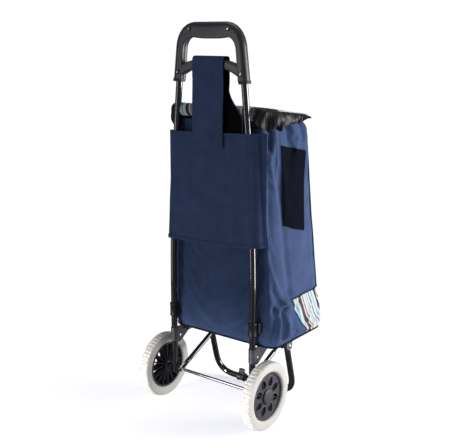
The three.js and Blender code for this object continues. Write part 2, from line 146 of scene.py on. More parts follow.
soft_lamp("side_lamp", (-1.94, -1.23, 0.5), (0, 0, 0.5), (1.5, 1.7), 78)
soft_lamp("left_strip", (1.15, 1.95, 0.35), (0, 0, 0.35), (0.32, 1.7), 9)
soft_lamp("top_lamp", (0.2, -0.2, 2.9), (0, 0, 0.5), (1.8, 1.8), 15)
soft_lamp("wheel_lamp", (0.3, 1.7, 0.1), (0, 0, 0.06), (0.8, 0.12), 0.9)
bpy.data.lights["wheel_lamp"].spread = math.radians(16)
world = bpy.data.worlds.new("studio")
world.use_nodes = True
sky_tree = world.node_tree
sky_light = sky_tree.nodes["Background"]
sky_light.inputs["Color"].default_value = (0.95, 0.97, 1.0, 1.0)
sky_light.inputs["Strength"].default_value = 0.13
backdrop = sky_tree.nodes.new("ShaderNodeBackground")
backdrop.inputs["Color"].default_value = (1.0, 1.0, 1.0, 1.0)
backdrop.inputs["Strength"].default_value = 1.05
sight = sky_tree.nodes.new("ShaderNodeLightPath")
mix_shaders(sky_tree, sight.outputs["Is Camera Ray"], sky_light.outputs[0], backdrop.outputs[0],
            sky_tree.nodes["World Output"])
bpy.context.scene.world = world
bpy.context.scene.view_settings.view_transform = "Standard"
print("lamps:", len(bpy.data.lights))

# %% [markdown]
# ## Effects that several finishes share
# A shader node group is a small machine built once and used in many materials. Four are enough here:
# a weave made from two crossing sine waves, a soft mottling that no cloth or paint is free of, the fine
# grain of moulded plastic, and rubbed marks. Each one only gives out numbers; the shader stays in the
# material.


# %% Node group helper
def start_group(name, inputs, outputs):
    """A new shader node group with named sockets: inputs are (name, type, value), outputs (name, type)."""
    group = bpy.data.node_groups.new(name, "ShaderNodeTree")
    for socket, kind, value in inputs:
        made = group.interface.new_socket(socket, in_out="INPUT", socket_type=kind)
        if value is not None:
            made.default_value = value
    for socket, kind in outputs:
        group.interface.new_socket(socket, in_out="OUTPUT", socket_type=kind)
    return group, group.nodes.new("NodeGroupInput"), group.nodes.new("NodeGroupOutput")


def maths(tree, operation, first, second=None, third=None, clamp=False):
    """One Math node. Each operand is a number or another node's socket; the result socket is returned."""
    node = tree.nodes.new("ShaderNodeMath")
    node.operation, node.use_clamp = operation, clamp
    for socket, operand in zip(node.inputs, (first, second, third)):
        if operand is None:
            continue
        if isinstance(operand, (int, float)):
            socket.default_value = operand
        else:
            tree.links.new(operand, socket)
    return node.outputs[0]


def noise(tree, vector, scale, detail=2.0, roughness=0.5):
    """A noise texture read at the given vector; scale may be a number or a socket."""
    node = tree.nodes.new("ShaderNodeTexNoise")
    node.inputs["Detail"].default_value = detail
    node.inputs["Roughness"].default_value = roughness
    tree.links.new(vector, node.inputs["Vector"])
    if isinstance(scale, (int, float)):
        node.inputs["Scale"].default_value = scale
    else:
        tree.links.new(scale, node.inputs["Scale"])
    return node.outputs[0]


# %% Weave group
weave, start, end = start_group(
    "weave", [("Vector", "NodeSocketVector", None), ("Threads per metre", "NodeSocketFloat", 900.0)],
    [("Thread", "NodeSocketFloat"), ("Height", "NodeSocketFloat")])
split = weave.nodes.new("ShaderNodeSeparateXYZ")
weave.links.new(start.outputs["Vector"], split.inputs[0])
turns = maths(weave, "MULTIPLY", start.outputs["Threads per metre"], math.pi)
warp = maths(weave, "SINE", maths(weave, "MULTIPLY", split.outputs["X"], turns))
weft = maths(weave, "SINE", maths(weave, "MULTIPLY", split.outputs["Y"], turns))
crossing = maths(weave, "MULTIPLY", warp, weft)
uneven = noise(weave, start.outputs["Vector"], 420.0, 3.0, 0.6)
height = maths(weave, "MULTIPLY_ADD", crossing, 0.5, uneven)
weave.links.new(maths(weave, "MULTIPLY_ADD", crossing, 0.25, uneven, clamp=True), end.inputs["Thread"])
weave.links.new(height, end.inputs["Height"])
print("group:", weave.name)

# %% Mottling group
mottle, start, end = start_group(
    "mottle", [("Vector", "NodeSocketVector", None), ("Scale", "NodeSocketFloat", 12.0),
               ("Contrast", "NodeSocketFloat", 1.0)], [("Shade", "NodeSocketFloat")])
broad = noise(mottle, start.outputs["Vector"], start.outputs["Scale"], 4.0, 0.6)
centred = maths(mottle, "SUBTRACT", broad, 0.5)
spread = maths(mottle, "MULTIPLY_ADD", centred, start.outputs["Contrast"], 0.5, clamp=True)
mottle.links.new(spread, end.inputs["Shade"])
print("group:", mottle.name)

# %% Grain group
grain, start, end = start_group(
    "grain", [("Vector", "NodeSocketVector", None), ("Scale", "NodeSocketFloat", 900.0)],
    [("Height", "NodeSocketFloat"), ("Shade", "NodeSocketFloat")])
cells = grain.nodes.new("ShaderNodeTexVoronoi")
grain.links.new(start.outputs["Vector"], cells.inputs["Vector"])
grain.links.new(start.outputs["Scale"], cells.inputs["Scale"])
grain.links.new(cells.outputs["Distance"], end.inputs["Height"])
grain.links.new(noise(grain, start.outputs["Vector"], 25.0, 3.0), end.inputs["Shade"])
print("group:", grain.name)

# %% Rubbed marks group
rubbed, start, end = start_group(
    "rubbed", [("Vector", "NodeSocketVector", None), ("Amount", "NodeSocketFloat", 0.3)],
    [("Mask", "NodeSocketFloat")])
stretch = rubbed.nodes.new("ShaderNodeMapping")
stretch.inputs["Scale"].default_value = (1.0, 1.0, 0.12)
rubbed.links.new(start.outputs["Vector"], stretch.inputs["Vector"])
streaks = noise(rubbed, stretch.outputs[0], 260.0, 6.0, 0.7)
patches = noise(rubbed, start.outputs["Vector"], 30.0, 3.0, 0.6)
both = maths(rubbed, "MULTIPLY", streaks, patches)
sharp = maths(rubbed, "MULTIPLY_ADD", both, 6.0, -1.6, clamp=True)
rubbed.links.new(maths(rubbed, "MULTIPLY", sharp, start.outputs["Amount"]), end.inputs["Mask"])
print("group:", rubbed.name)

# %% [markdown]
# ## Finishes
# Every finish is a Principled shader whose colour, roughness and bump come from the groups above. Colours
# are written as they look on a screen and turned into the linear numbers that light is worked out in.


# %% Material helpers
def screen(red, green, blue):
    """A screen colour, 0 to 255, as the linear RGBA that Blender's shaders read."""
    share = np.array([red, green, blue]) / 255.0
    linear = np.where(share <= 0.04045, share / 12.92, ((share + 0.055) / 1.055) ** 2.4)
    return (*(float(c) for c in linear), 1.0)


def start_material(name, metallic=0.0, **sockets):
    """A material with its Principled shader; constant sockets are set straight on the shader."""
    material = bpy.data.materials.new(name)
    material.use_nodes = True
    shader = material.node_tree.nodes["Principled BSDF"]
    shader.inputs["Metallic"].default_value = metallic
    for socket, value in sockets.items():
        shader.inputs[socket.replace("_", " ")].default_value = value
    return material, material.node_tree, shader


def place_group(tree, group, vector, **values):
    """One use of a node group, with its vector linked and its numbers set."""
    node = tree.nodes.new("ShaderNodeGroup")
    node.node_tree = group
    tree.links.new(vector, node.inputs["Vector"])
    for socket, value in values.items():
        node.inputs[socket.replace("_", " ")].default_value = value
    return node


def blend_colours(tree, factor, first, second):
    """A Mix node between two colours (or colour sockets) by a factor socket or number."""
    node = tree.nodes.new("ShaderNodeMix")
    node.data_type = "RGBA"
    for socket, value in ((node.inputs[0], factor), (node.inputs[6], first), (node.inputs[7], second)):
        if isinstance(value, (int, float, tuple)):
            socket.default_value = value
        else:
            tree.links.new(value, socket)
    return node.outputs[2]


def bump(tree, shader, height, strength, distance):
    """A Bump node from a height socket into the shader's normal; distance is in metres."""
    node = tree.nodes.new("ShaderNodeBump")
    node.inputs["Strength"].default_value = strength
    node.inputs["Distance"].default_value = distance
    tree.links.new(height, node.inputs["Height"])
    tree.links.new(node.outputs[0], shader.inputs["Normal"])


def coordinates(tree, kind):
    """Object coordinates for hard parts, or the piece's own UV map, in metres, for cloth."""
    return tree.nodes.new("ShaderNodeTexCoord").outputs[kind]


# %% Hard finishes
def hard_finish(name, dark, light, roughness, grain_scale, grain_depth, metallic=0.0, marks=0.25, **sockets):
    """Paint, plastic or metal: two close shades mottled together, rubbed marks and a fine grain bump."""
    material, tree, shader = start_material(name, metallic, **sockets)
    where = coordinates(tree, "Object")
    shade = place_group(tree, mottle, where, Scale=18.0, Contrast=1.6).outputs["Shade"]
    mask = place_group(tree, rubbed, where, Amount=marks).outputs["Mask"]
    fine = place_group(tree, grain, where, Scale=grain_scale)
    base = blend_colours(tree, shade, dark, light)
    worn = blend_colours(tree, mask, base, tuple(min(1.0, c * 2.2 + 0.02) for c in light[:3]) + (1.0,))
    tree.links.new(worn, shader.inputs["Base Color"])
    rough = maths(tree, "MULTIPLY_ADD", mask, 0.3, roughness - 0.04)
    rough = maths(tree, "MULTIPLY_ADD", fine.outputs["Shade"], 0.08, rough)
    tree.links.new(rough, shader.inputs["Roughness"])
    bump(tree, shader, fine.outputs["Height"], 0.35, grain_depth)
    return material


gloss_paint = hard_finish("gloss_black_paint", screen(12, 12, 14), screen(22, 22, 25), 0.16, 600.0, 0.00002,
                          marks=0.08, Coat_Weight=1.0, Coat_Roughness=0.04, Coat_IOR=1.8)
# The gussets are black paint. Their dark grey is painted reflection, on a satin, partly metallic surface that
# also reflects for real.
gusset_grey_painted_reflection = hard_finish("dark_grey_painted_reflection", screen(64, 64, 70), screen(84, 84, 91), 0.4, 900.0, 0.00005,
                          metallic=0.3)
handle_plastic = hard_finish("handle_plastic", screen(50, 50, 56), screen(64, 64, 71), 0.34, 1500.0, 0.00012,
                             marks=0.1)
grip_rubber = hard_finish("grip_rubber", screen(84, 84, 91), screen(104, 104, 112), 0.5, 1500.0, 0.0001,
                          marks=0.1)
black_plastic = hard_finish("black_plastic", screen(20, 20, 23), screen(32, 32, 36), 0.45, 1300.0, 0.00012,
                            marks=0.12)
hub_plastic = hard_finish("hub_plastic", screen(56, 56, 63), screen(70, 70, 78), 0.5, 1400.0, 0.00014,
                          marks=0.1)
tyre_foam = hard_finish("tyre_foam", screen(206, 203, 196), screen(216, 213, 207), 0.68, 1000.0, 0.0003,
                        marks=0.06)
zinc = hard_finish("bright_zinc", screen(190, 190, 194), screen(214, 214, 218), 0.26, 700.0, 0.00004,
                   metallic=1.0)
chrome = hard_finish("chromed_steel", screen(206, 208, 212), screen(222, 224, 228), 0.1, 500.0, 0.00002,
                     metallic=1.0, marks=0.1)
grey_steel = hard_finish("grey_steel", screen(112, 112, 120), screen(138, 138, 146), 0.38, 900.0, 0.00006,
                         metallic=0.55)
nylon = hard_finish("white_nylon", screen(205, 205, 200), screen(222, 222, 216), 0.4, 1200.0, 0.0001)
card = hard_finish("grey_board", screen(88, 84, 78), screen(112, 106, 98), 0.85, 380.0, 0.0003)
print("hard finishes:", len([m for m in bpy.data.materials if m.use_nodes]))


# %% Cloth finishes
def cloth(name, dark, light, threads, thread_depth, roughness=0.78, stripes=None, gleam=0.07, **sockets):
    """Woven cloth read on the UV map in metres: thread shading, mottled dye, thread and slub bump."""
    material, tree, shader = start_material(name, 0.0, Specular_IOR_Level=gleam, **sockets)
    where = coordinates(tree, "UV")
    threads_node = place_group(tree, weave, where, Threads_per_metre=threads)
    dye = place_group(tree, mottle, where, Scale=22.0, Contrast=1.5).outputs["Shade"]
    shade = maths(tree, "MULTIPLY_ADD", threads_node.outputs["Thread"], 0.55,
                  maths(tree, "MULTIPLY", dye, 0.45))
    if stripes is None:
        base = blend_colours(tree, shade, dark, light)
    else:
        base = blend_colours(tree, maths(tree, "MULTIPLY", shade, 0.35), striped(tree, where, stripes), dark)
    tree.links.new(base, shader.inputs["Base Color"])
    rough = maths(tree, "MULTIPLY_ADD", dye, 0.12, roughness - 0.06)
    tree.links.new(rough, shader.inputs["Roughness"])
    bump(tree, shader, threads_node.outputs["Height"], 0.5, thread_depth)
    return material


def striped(tree, where, stripes):
    """Stripes across U: the place within one repeat, 0 to 1, picks a colour from a stepped ramp."""
    repeat = sum(width for _, width in stripes)
    split = tree.nodes.new("ShaderNodeSeparateXYZ")
    tree.links.new(where, split.inputs[0])
    share = maths(tree, "FRACT", maths(tree, "DIVIDE", split.outputs["X"], repeat * MM))
    ramp = tree.nodes.new("ShaderNodeValToRGB")
    ramp.color_ramp.interpolation = "CONSTANT"
    tree.links.new(share, ramp.inputs[0])
    at = 0.0
    for number, (colour, width) in enumerate(stripes):
        stop = ramp.color_ramp.elements[0] if number == 0 else ramp.color_ramp.elements.new(at / repeat)
        stop.position, stop.color = at / repeat, colour
        at += width
    ramp.color_ramp.elements.remove(ramp.color_ramp.elements[-1])
    return ramp.outputs[0]


sky, cream, ink = screen(84, 186, 224), screen(216, 213, 209), screen(28, 34, 54)
brown, dove = screen(118, 88, 88), screen(176, 170, 184)
stripe_order = [(sky, 5.5), (cream, 8.5), (ink, 11.0), (cream, 5.0), (brown, 4.0), (cream, 8.5), (dove, 2.5),
                (cream, 3.5), (sky, 4.0), (cream, 6.0), (brown, 4.0), (cream, 7.0)]
navy_canvas = cloth("navy_canvas", screen(39, 53, 82), screen(78, 98, 140), 900.0, 0.00025,
                    Sheen_Weight=0.12, Sheen_Roughness=0.4)
# Near-black cloth: the bag's lining, and on the strap's inside painted shade for the shadow under the strap.
lining_and_painted_shade = cloth("black_lining_and_painted_shade", screen(9, 9, 11), screen(18, 18, 21), 1100.0, 0.00012, 0.8, gleam=0.02)
mesh_cloth = cloth("dark_mesh", screen(13, 14, 22), screen(27, 29, 42), 620.0, 0.0004, 0.9, gleam=0.0)
stripe_canvas = cloth("striped_canvas", screen(150, 146, 142), cream, 900.0, 0.0002, stripes=stripe_order)
skirt_nylon = cloth("skirt_nylon", screen(14, 14, 17), screen(30, 30, 35), 1300.0, 0.0001, 0.5, gleam=0.45)
binding = cloth("dark_binding", screen(18, 20, 30), screen(34, 38, 54), 1100.0, 0.0002, 0.7)
thread = cloth("navy_thread", screen(58, 70, 104), screen(92, 104, 140), 2400.0, 0.0001, 0.6)
print("materials:", len(bpy.data.materials))

# %% [markdown]
# ## Surfaces from arrays
# Nearly every new piece is a grid of points worked out as one numpy array and then joined into quads. A
# grid that closes on itself in one direction is a tube; its two open ends are closed with flat caps. The
# same helper serves sheets of cloth, turned parts and swept bars.


# %% Grid to mesh
def grid_mesh(name, points, wrap=False, caps=(), uv=None, flip=False):
    """Points in millimetres, shaped (rows, columns, 3), become quads between neighbouring rows and columns.

    wrap joins the last column to the first. caps names the ends, "start" or "end", that get a flat face."""
    points = np.asarray(points, dtype=float)
    rows, columns = points.shape[:2]
    index = np.arange(rows * columns).reshape(rows, columns)
    across = np.concatenate([index, index[:, :1]], axis=1) if wrap else index
    quads = np.stack([across[:-1, :-1], across[:-1, 1:], across[1:, 1:], across[1:, :-1]], axis=-1)
    faces = quads.reshape(-1, 4).tolist()
    if "start" in caps:
        faces.append(index[0, ::-1].tolist())
    if "end" in caps:
        faces.append(index[-1].tolist())
    if flip:
        faces = [face[::-1] for face in faces]
    mesh = bpy.data.meshes.new(name)
    mesh.from_pydata(place(points.reshape(-1, 3)), [], faces)
    if uv is None:
        run = np.linalg.norm(np.diff(points, axis=0), axis=-1).mean(axis=1)
        turn = np.linalg.norm(np.diff(points, axis=1), axis=-1).mean(axis=0)
        v = np.concatenate([[0.0], np.cumsum(run)])
        u = np.concatenate([[0.0], np.cumsum(turn), [turn.mean() + turn.sum()]])
        uv = np.stack(np.meshgrid(u, v), axis=-1)
    layer = mesh.uv_layers.new(name="UVMap")
    wide = quads.shape[1]
    corners = np.stack([uv[:-1, :wide], uv[:-1, 1:wide + 1], uv[1:, 1:wide + 1], uv[1:, :wide]], axis=2)
    corners = corners.reshape(-1, 4, 2)[:, ::-1] if flip else corners.reshape(-1, 4, 2)
    values = np.zeros((len(mesh.loops), 2))
    values[:corners.size // 2] = corners.reshape(-1, 2) * MM
    layer.data.foreach_set("uv", values.ravel())
    return mesh


def add_piece(name, mesh, material, body, replaced=(), sharp=40.0):
    """An object for a finished mesh: smooth shading with sharp edges kept, a finish and a body."""
    mesh.shade_smooth()
    mesh.set_sharp_from_angle(angle=math.radians(sharp))
    mesh.materials.append(material)
    piece = bpy.data.objects.new(name, mesh)
    bpy.context.scene.collection.objects.link(piece)
    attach(piece, body)
    if replaced:
        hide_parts(*replaced)
    return piece


def joined(name, meshes):
    """Several meshes in one, with their UV maps."""
    whole = bmesh.new()
    whole.loops.layers.uv.new("UVMap")
    for mesh in meshes:
        whole.from_mesh(mesh)
    result = bpy.data.meshes.new(name)
    whole.to_mesh(result)
    whole.free()
    return result


def tidy_mesh(mesh, distance=1e-6):
    """Doubled corners merged and every face turned outwards."""
    work = bmesh.new()
    work.from_mesh(mesh)
    bmesh.ops.remove_doubles(work, verts=work.verts, dist=distance)
    bmesh.ops.recalc_face_normals(work, faces=work.faces)
    work.to_mesh(mesh)
    work.free()
    return mesh


# %% Numbers along a path or a turn
def unit(vectors):
    """Each vector divided by its length."""
    return vectors / np.linalg.norm(vectors, axis=-1, keepdims=True)


def full_turn(count):
    """Equal steps round one whole turn, without the last, which would be the first again."""
    return np.linspace(0, 2 * np.pi, count + 1)[:-1]


def round_section(count=24):
    """A circle of radius 1 as (count, 2) points."""
    turn = full_turn(count)
    return np.stack([np.cos(turn), np.sin(turn)], axis=-1)


def run_along(path):
    """The distance run along a path, from 0, at each of its points."""
    return np.concatenate([[0.0], np.cumsum(np.linalg.norm(np.diff(path, axis=0), axis=-1))])


def point_at(path, distance):
    """The points of a path at distances run along it."""
    length = run_along(path)
    return np.stack([np.interp(distance, length, column) for column in path.T], axis=-1)


def smooth(value, low, high):
    """0 below low, 1 above high, and a smooth S between them."""
    t = np.clip((value - low) / (high - low), 0, 1)
    return t * t * (3 - 2 * t)


def bell(off, width):
    """A bump of height 1 that falls away with the distance off its middle: exp(-(off / width) squared)."""
    return np.exp(-(off / width) ** 2)


def along_x(node):
    """A part lying along X: its two ends, and the place of its axis."""
    low, high = span(node)
    return low[0], high[0], (0, (low[1] + high[1]) / 2, (low[2] + high[2]) / 2)


# %% Sweeps and turned shapes
def soft_box(half_wide, half_deep, corner, count=8):
    """A rectangle with round corners: the corner's centre plus the corner's radius along each direction."""
    turn = (np.arange(4 * count) // count) * np.pi / 2 + np.tile(np.linspace(0, np.pi / 2, count), 4)
    where = np.stack([np.cos(turn), np.sin(turn)], axis=-1)
    middle_turn = (np.arange(4 * count) // count) * np.pi / 2 + np.pi / 4
    sign = np.sign(np.stack([np.cos(middle_turn), np.sin(middle_turn)], axis=-1))
    return sign * np.array([half_wide - corner, half_deep - corner]) + where * corner


def sweep(path, across, section, scale=None):
    """A section carried along a path. At each step the section's first axis is `across` made square to the
    path, and its second axis is square to both; scale multiplies the section, step by step."""
    path = np.asarray(path, dtype=float)
    along = unit(np.gradient(path, axis=0))
    second = unit(np.cross(along, np.broadcast_to(np.asarray(across, dtype=float), path.shape)))
    first = np.cross(second, along)
    scale = np.ones((len(path), 2)) if scale is None else np.asarray(scale, dtype=float)
    shape = section[None] * scale[:, None]
    return path[:, None] + first[:, None] * shape[..., :1] + second[:, None] * shape[..., 1:]


def bar(name, path, across, section, scale=None):
    """A closed bar: a sweep with both ends capped."""
    return grid_mesh(name, sweep(path, across, section, scale), wrap=True, caps=("start", "end"), flip=True)


def turned(name, profile, axis, at, steps=48, closed=False):
    """A profile of (radius, place along the axis) points spun round an axis through `at`.

    closed joins the profile's last point to its first, as on a ring; otherwise its ends are capped."""
    radius, along = np.asarray(profile, dtype=float).T
    flat = radius[:, None, None] * round_section(steps)[None]
    lift = np.broadcast_to(along[:, None], flat.shape[:2])
    order = {"X": (2, 0, 1), "Y": (1, 2, 0), "Z": (0, 1, 2)}[axis]
    points = np.stack([flat[..., 0], flat[..., 1], lift], axis=-1)[..., order] + np.asarray(at, dtype=float)
    if closed:
        points = np.concatenate([points, points[:1]])
    return tidy_mesh(grid_mesh(name, points, wrap=True, caps=() if closed else ("start", "end")), 1e-7)


def curve_points(anchors, count):
    """A smooth path through straight runs and corners: anchors are (point, corner radius), and each corner
    is an arc drawn as a quadratic curve between the two places where the runs would leave it."""
    spots = [np.array(spot, dtype=float) for spot, _ in anchors]
    path = [spots[0]]
    for number in range(1, len(anchors) - 1):
        before = unit(spots[number - 1] - spots[number])
        after = unit(spots[number + 1] - spots[number])
        reach = anchors[number][1]
        t = np.linspace(0, 1, 12)[:, None]
        arc = ((1 - t) ** 2 * (spots[number] + before * reach) + 2 * t * (1 - t) * spots[number]
               + t ** 2 * (spots[number] + after * reach))
        path.extend(arc)
    path.append(spots[-1])
    path = np.array(path)
    return point_at(path, np.linspace(0, run_along(path)[-1], count))


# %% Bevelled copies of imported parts
def bevelled_copy(node, material, width=0.5, name=None):
    """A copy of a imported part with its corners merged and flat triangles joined, then rounded edges."""
    source = frame["nodes"][node]
    mesh = source.data.copy()
    mesh.materials.clear()
    work = bmesh.new()
    work.from_mesh(mesh)
    bmesh.ops.remove_doubles(work, verts=work.verts, dist=1e-5)
    bmesh.ops.dissolve_limit(work, angle_limit=math.radians(1.0), verts=work.verts, edges=work.edges)
    work.to_mesh(mesh)
    work.free()
    piece = add_piece(name or node + "_shaped", mesh, material, source["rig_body"], (node,), 35.0)
    edge = piece.modifiers.new("round_edges", "BEVEL")
    edge.width, edge.segments, edge.limit_method = width * MM, 2, "ANGLE"
    edge.angle_limit, edge.harden_normals = math.radians(35.0), False
    return piece


# %% [markdown]
# ## The bent frame tubes, the axle and the small turned parts
# The two uprights are one bent steel tube each, gloss painted: straight up from below the axle, then
# leaning in towards the handle above the middle of the bag. The joint of straight and slope is a wide
# bend, so the path is straight runs with one long rounded corner, and a circle is carried along it.

# %% Frame tubes
for side, sign in SIDES.items():
    low, high = span(f"frame_tube_{side}")
    outer_x = 123.5 * sign
    path = curve_points([((outer_x, 0, low[2]), 0), ((outer_x, 0, 430.0), 120.0),
                         ((105.0 * sign, 0, 728.0), 20.0), ((92.3 * sign, 0, high[2]), 0)], 90)
    path = np.concatenate([path[:1], path[:1] + [[0, 0, 0.8]], path[1:]])
    radius = np.full((len(path), 2), 8.0)
    radius[0] = 7.0
    mesh = bar(f"tube_{side}", path, (0, 1, 0), round_section(36), radius)
    add_piece(f"tube_{side}", mesh, gloss_paint, "frame", (f"frame_tube_{side}",))
print("tube height", span("frame_tube_left")[1][2])


# %% Turned parts along the axle
def pin_profile(x0, x1, radius, chamfer=0.8):
    """A plain pin: full radius with a small chamfer at each end."""
    return [(radius - chamfer, x0), (radius, x0 + chamfer), (radius, x1 - chamfer), (radius - chamfer, x1)]


def ring_profile(x0, x1, radius, bore, chamfer=0.6):
    """A plain ring: outer face with two chamfers, then back along the bore."""
    return [(radius - chamfer, x0), (radius, x0 + chamfer), (radius, x1 - chamfer), (radius - chamfer, x1),
            (bore, x1), (bore, x0)]


low, high = span("axle")
axle_at = (0, 0, AXLE_Z)
add_piece("axle_rod", turned("axle_rod", pin_profile(low[0], high[0], 4.0), "X", axle_at), chrome, "frame",
          ("axle",))
for side in SIDES:
    for node, bore, material, slot, body in (
            ("axle_clip", 4.1, zinc, "zinc", "frame"),
            ("axle_spacer", 4.3, black_plastic, "black_plastic", "frame"),
            ("wheel_bush", 4.35, nylon, "nylon", f"wheel_{side}")):
        low, high = span(f"{node}_{side}")
        mesh = turned(f"{node}_ring_{side}", ring_profile(low[0], high[0], high[1], bore, 0.4), "X", axle_at,
                      closed=True)
        add_piece(f"{node}_ring_{side}", mesh, material, body, (f"{node}_{side}",))


# %% Rivets and their spacers
def domed_rivet(x0, x1, head_out):
    """A rivet's profile: a clenched tail, a shank of radius 3 and a domed head; head_out says which end."""
    dome = np.linspace(0, np.pi / 2, 7)
    shank, head_radius, head_high = 3.0, 5.1, 1.8
    head_base = x1 - x0 - head_high
    tail = [(0.0, 0.0), (4.2, 0.0), (5.0, 0.5), (5.0, 1.0), (shank, 1.0)]
    head = [(head_radius * math.cos(t), head_base + head_high * math.sin(t)) for t in dome]
    profile = np.array(tail + [(shank, head_base)] + head)
    if head_out > 0:
        profile[:, 1] += x0
    else:
        profile[:, 1] = x1 - profile[:, 1]
    profile[-1, 0] = 0.0
    return profile


for side, sign in SIDES.items():
    for node, body in (("shelf_rivet", "frame"), ("leg_rivet", "shelf")):
        x0, x1, centre = along_x(f"{node}_{side}")
        mesh = turned(f"{node}_domed_{side}", domed_rivet(x0, x1, sign), "X", centre, 32)
        add_piece(f"{node}_domed_{side}", mesh, zinc, body, (f"{node}_{side}",))
    x0, x1, centre = along_x(f"rivet_spacer_{side}")
    mesh = turned(f"rivet_spacer_ring_{side}", ring_profile(x0, x1, 5.5, 3.3), "X", centre, closed=True)
    add_piece(f"rivet_spacer_ring_{side}", mesh, zinc, "frame", (f"rivet_spacer_{side}",))

# %% [markdown]
# ## Pressed plates and the folding platform
# Gussets, rails, brackets, slats and the board are flat stock whose outline the imported part already holds.
# What it lacks is the soft edge that pressing and painting leave, so each is a merged copy with its edges
# rounded by a Bevel modifier.

# %% Plates
# The gussets' grey is painted reflection on black paint; the leg brackets are real grey steel.
plates = [(f"{node}_{side}", material, slot) for side in SIDES for node, material, slot in (
    ("gusset", gusset_grey_painted_reflection, "grey_steel"), ("shelf_rail", gloss_paint, "frame_paint"),
    ("leg_bracket", grey_steel, "grey_steel"), ("shelf_slat", gloss_paint, "frame_paint"))]
for node, material, slot in plates + [("base_board", card, "board_card")]:
    bevelled_copy(node, material)
for node in ("shelf_front_bar", "shelf_rear_bar"):
    low, high = span(node)
    x0, x1, centre = along_x(node)
    mesh = turned(f"{node}_round", pin_profile(x0, x1, (high[2] - low[2]) / 2), "X", centre, 32)
    add_piece(f"{node}_round", mesh, gloss_paint, "shelf", (node,))
print("plates:", len(plates) + 3)

# %% [markdown]
# ## The front leg, its foot clips and the prop struts
# The front leg is one tube bent into a U, leaning forward. The struts are tube too, but hammered flat at
# both ends where a pin goes through, so their section changes along the way: round in the middle, wide and
# thin at the tips. A scale that varies along the sweep does that without a second piece.

# %% Front leg
low, high = span("front_leg")
pivot_y, pivot_z = -150.0, 157.0
tube_radius = 8.0
leg_x, foot_y, foot_z = 124.0, -190.0, low[2] + tube_radius
leg_over, leg_lean = 11.0, 40.0 / 146.0
leg_top = np.array([leg_x, pivot_y + leg_over * leg_lean, pivot_z + leg_over])
foot = np.array([leg_x, foot_y, foot_z])
mirror_x = np.array([-1.0, 1.0, 1.0])
path = curve_points([(leg_top, 0), (foot, 52.0), (foot * mirror_x, 52.0), (leg_top * mirror_x, 0)], 140)
end_scale = np.full((len(path), 2), tube_radius)
end_scale[[0, -1]] = 6.6
leg = bar("leg_tube", path, unit(np.cross(leg_top - foot, (1, 0, 0))), round_section(32), end_scale)
add_piece("leg_tube", leg, gloss_paint, "leg", ("front_leg",))
print("front leg spans", np.round(high - low))


# %% Foot clips
def foot_clip(name, x):
    """A rubber-like shoe snapped round the foot bar: a ring with a rib at each end, and a tab standing up."""
    half = 11.0
    outline = [(9.2, -half), (11.2, -half), (11.8, -half + 1.5), (11.2, -half + 3.5), (10.4, -half + 4.5),
               (10.4, half - 4.5), (11.2, half - 3.5), (11.8, half - 1.5), (11.2, half), (9.2, half)]
    ring = turned(name, [(r, a + x) for r, a in outline] + [(8.2, x + half), (8.2, x - half)], "X",
                  (0, foot_y, foot_z), 40, closed=True)
    path = np.array([(x, foot_y, foot_z + 9.5), (x, foot_y, foot_z + 16), (x, foot_y - 0.4, foot_z + 21.4),
                     (x, foot_y - 0.6, foot_z + 22.6), (x, foot_y - 0.6, foot_z + 23.0)])
    tab = bar(name, path, (1, 0, 0), soft_box(1, 1, 0.3),
              [(8, 4.6), (8, 4.4), (8, 4.0), (7.4, 3.4), (6.6, 2.6)])
    return joined(name, [ring, tab])


for side, sign in SIDES.items():
    add_piece(f"foot_shoe_{side}", foot_clip(f"foot_shoe_{side}", 46.0 * sign), black_plastic, "leg",
              (f"foot_clip_{side}",))

# %% Prop struts
strut_rise = math.atan2(pivot_z - AXLE_Z, -pivot_y)
strut_end = 0.97 * math.hypot(pivot_z - AXLE_Z, pivot_y)
strut_back = 7.6
t = np.linspace(0, 1, 70)
reach = -strut_back + (strut_end + 4.0) * t
flat_low = np.clip((30.0 - reach) / 18.0, 0, 1)
flat_high = np.clip((reach - (strut_end - 30.0)) / 16.0, 0, 1)
flat = smooth(np.maximum(flat_low, flat_high), 0, 1)
tip_round = np.sqrt(np.clip(1 - (np.clip(-reach, 0, strut_back) / 7.8) ** 2, 0.02, 1))
for side, sign in SIDES.items():
    path = np.stack([np.full_like(t, 103.0 * sign), -reach * math.cos(strut_rise),
                     AXLE_Z + reach * math.sin(strut_rise)], axis=-1)
    scale = np.stack([6.0 - 4.3 * flat, (6.0 + 2.2 * flat * (flat_low >= flat_high)
                                          - 0.6 * flat * (flat_high > flat_low)) * tip_round], axis=-1)
    mesh = bar(f"prop_{side}", path, (1, 0, 0), round_section(28), scale)
    add_piece(f"prop_{side}", mesh, gloss_paint, "struts", (f"strut_{side}",))
print("strut length", round(strut_end, 1))

# %% [markdown]
# ## Collars on the uprights
# Each upright wears a plastic collar below the bag's middle, with a short tab outboard that a wire loop
# hooks into. The collar is turned; the loop is a thin wire bent into a rounded rectangle.

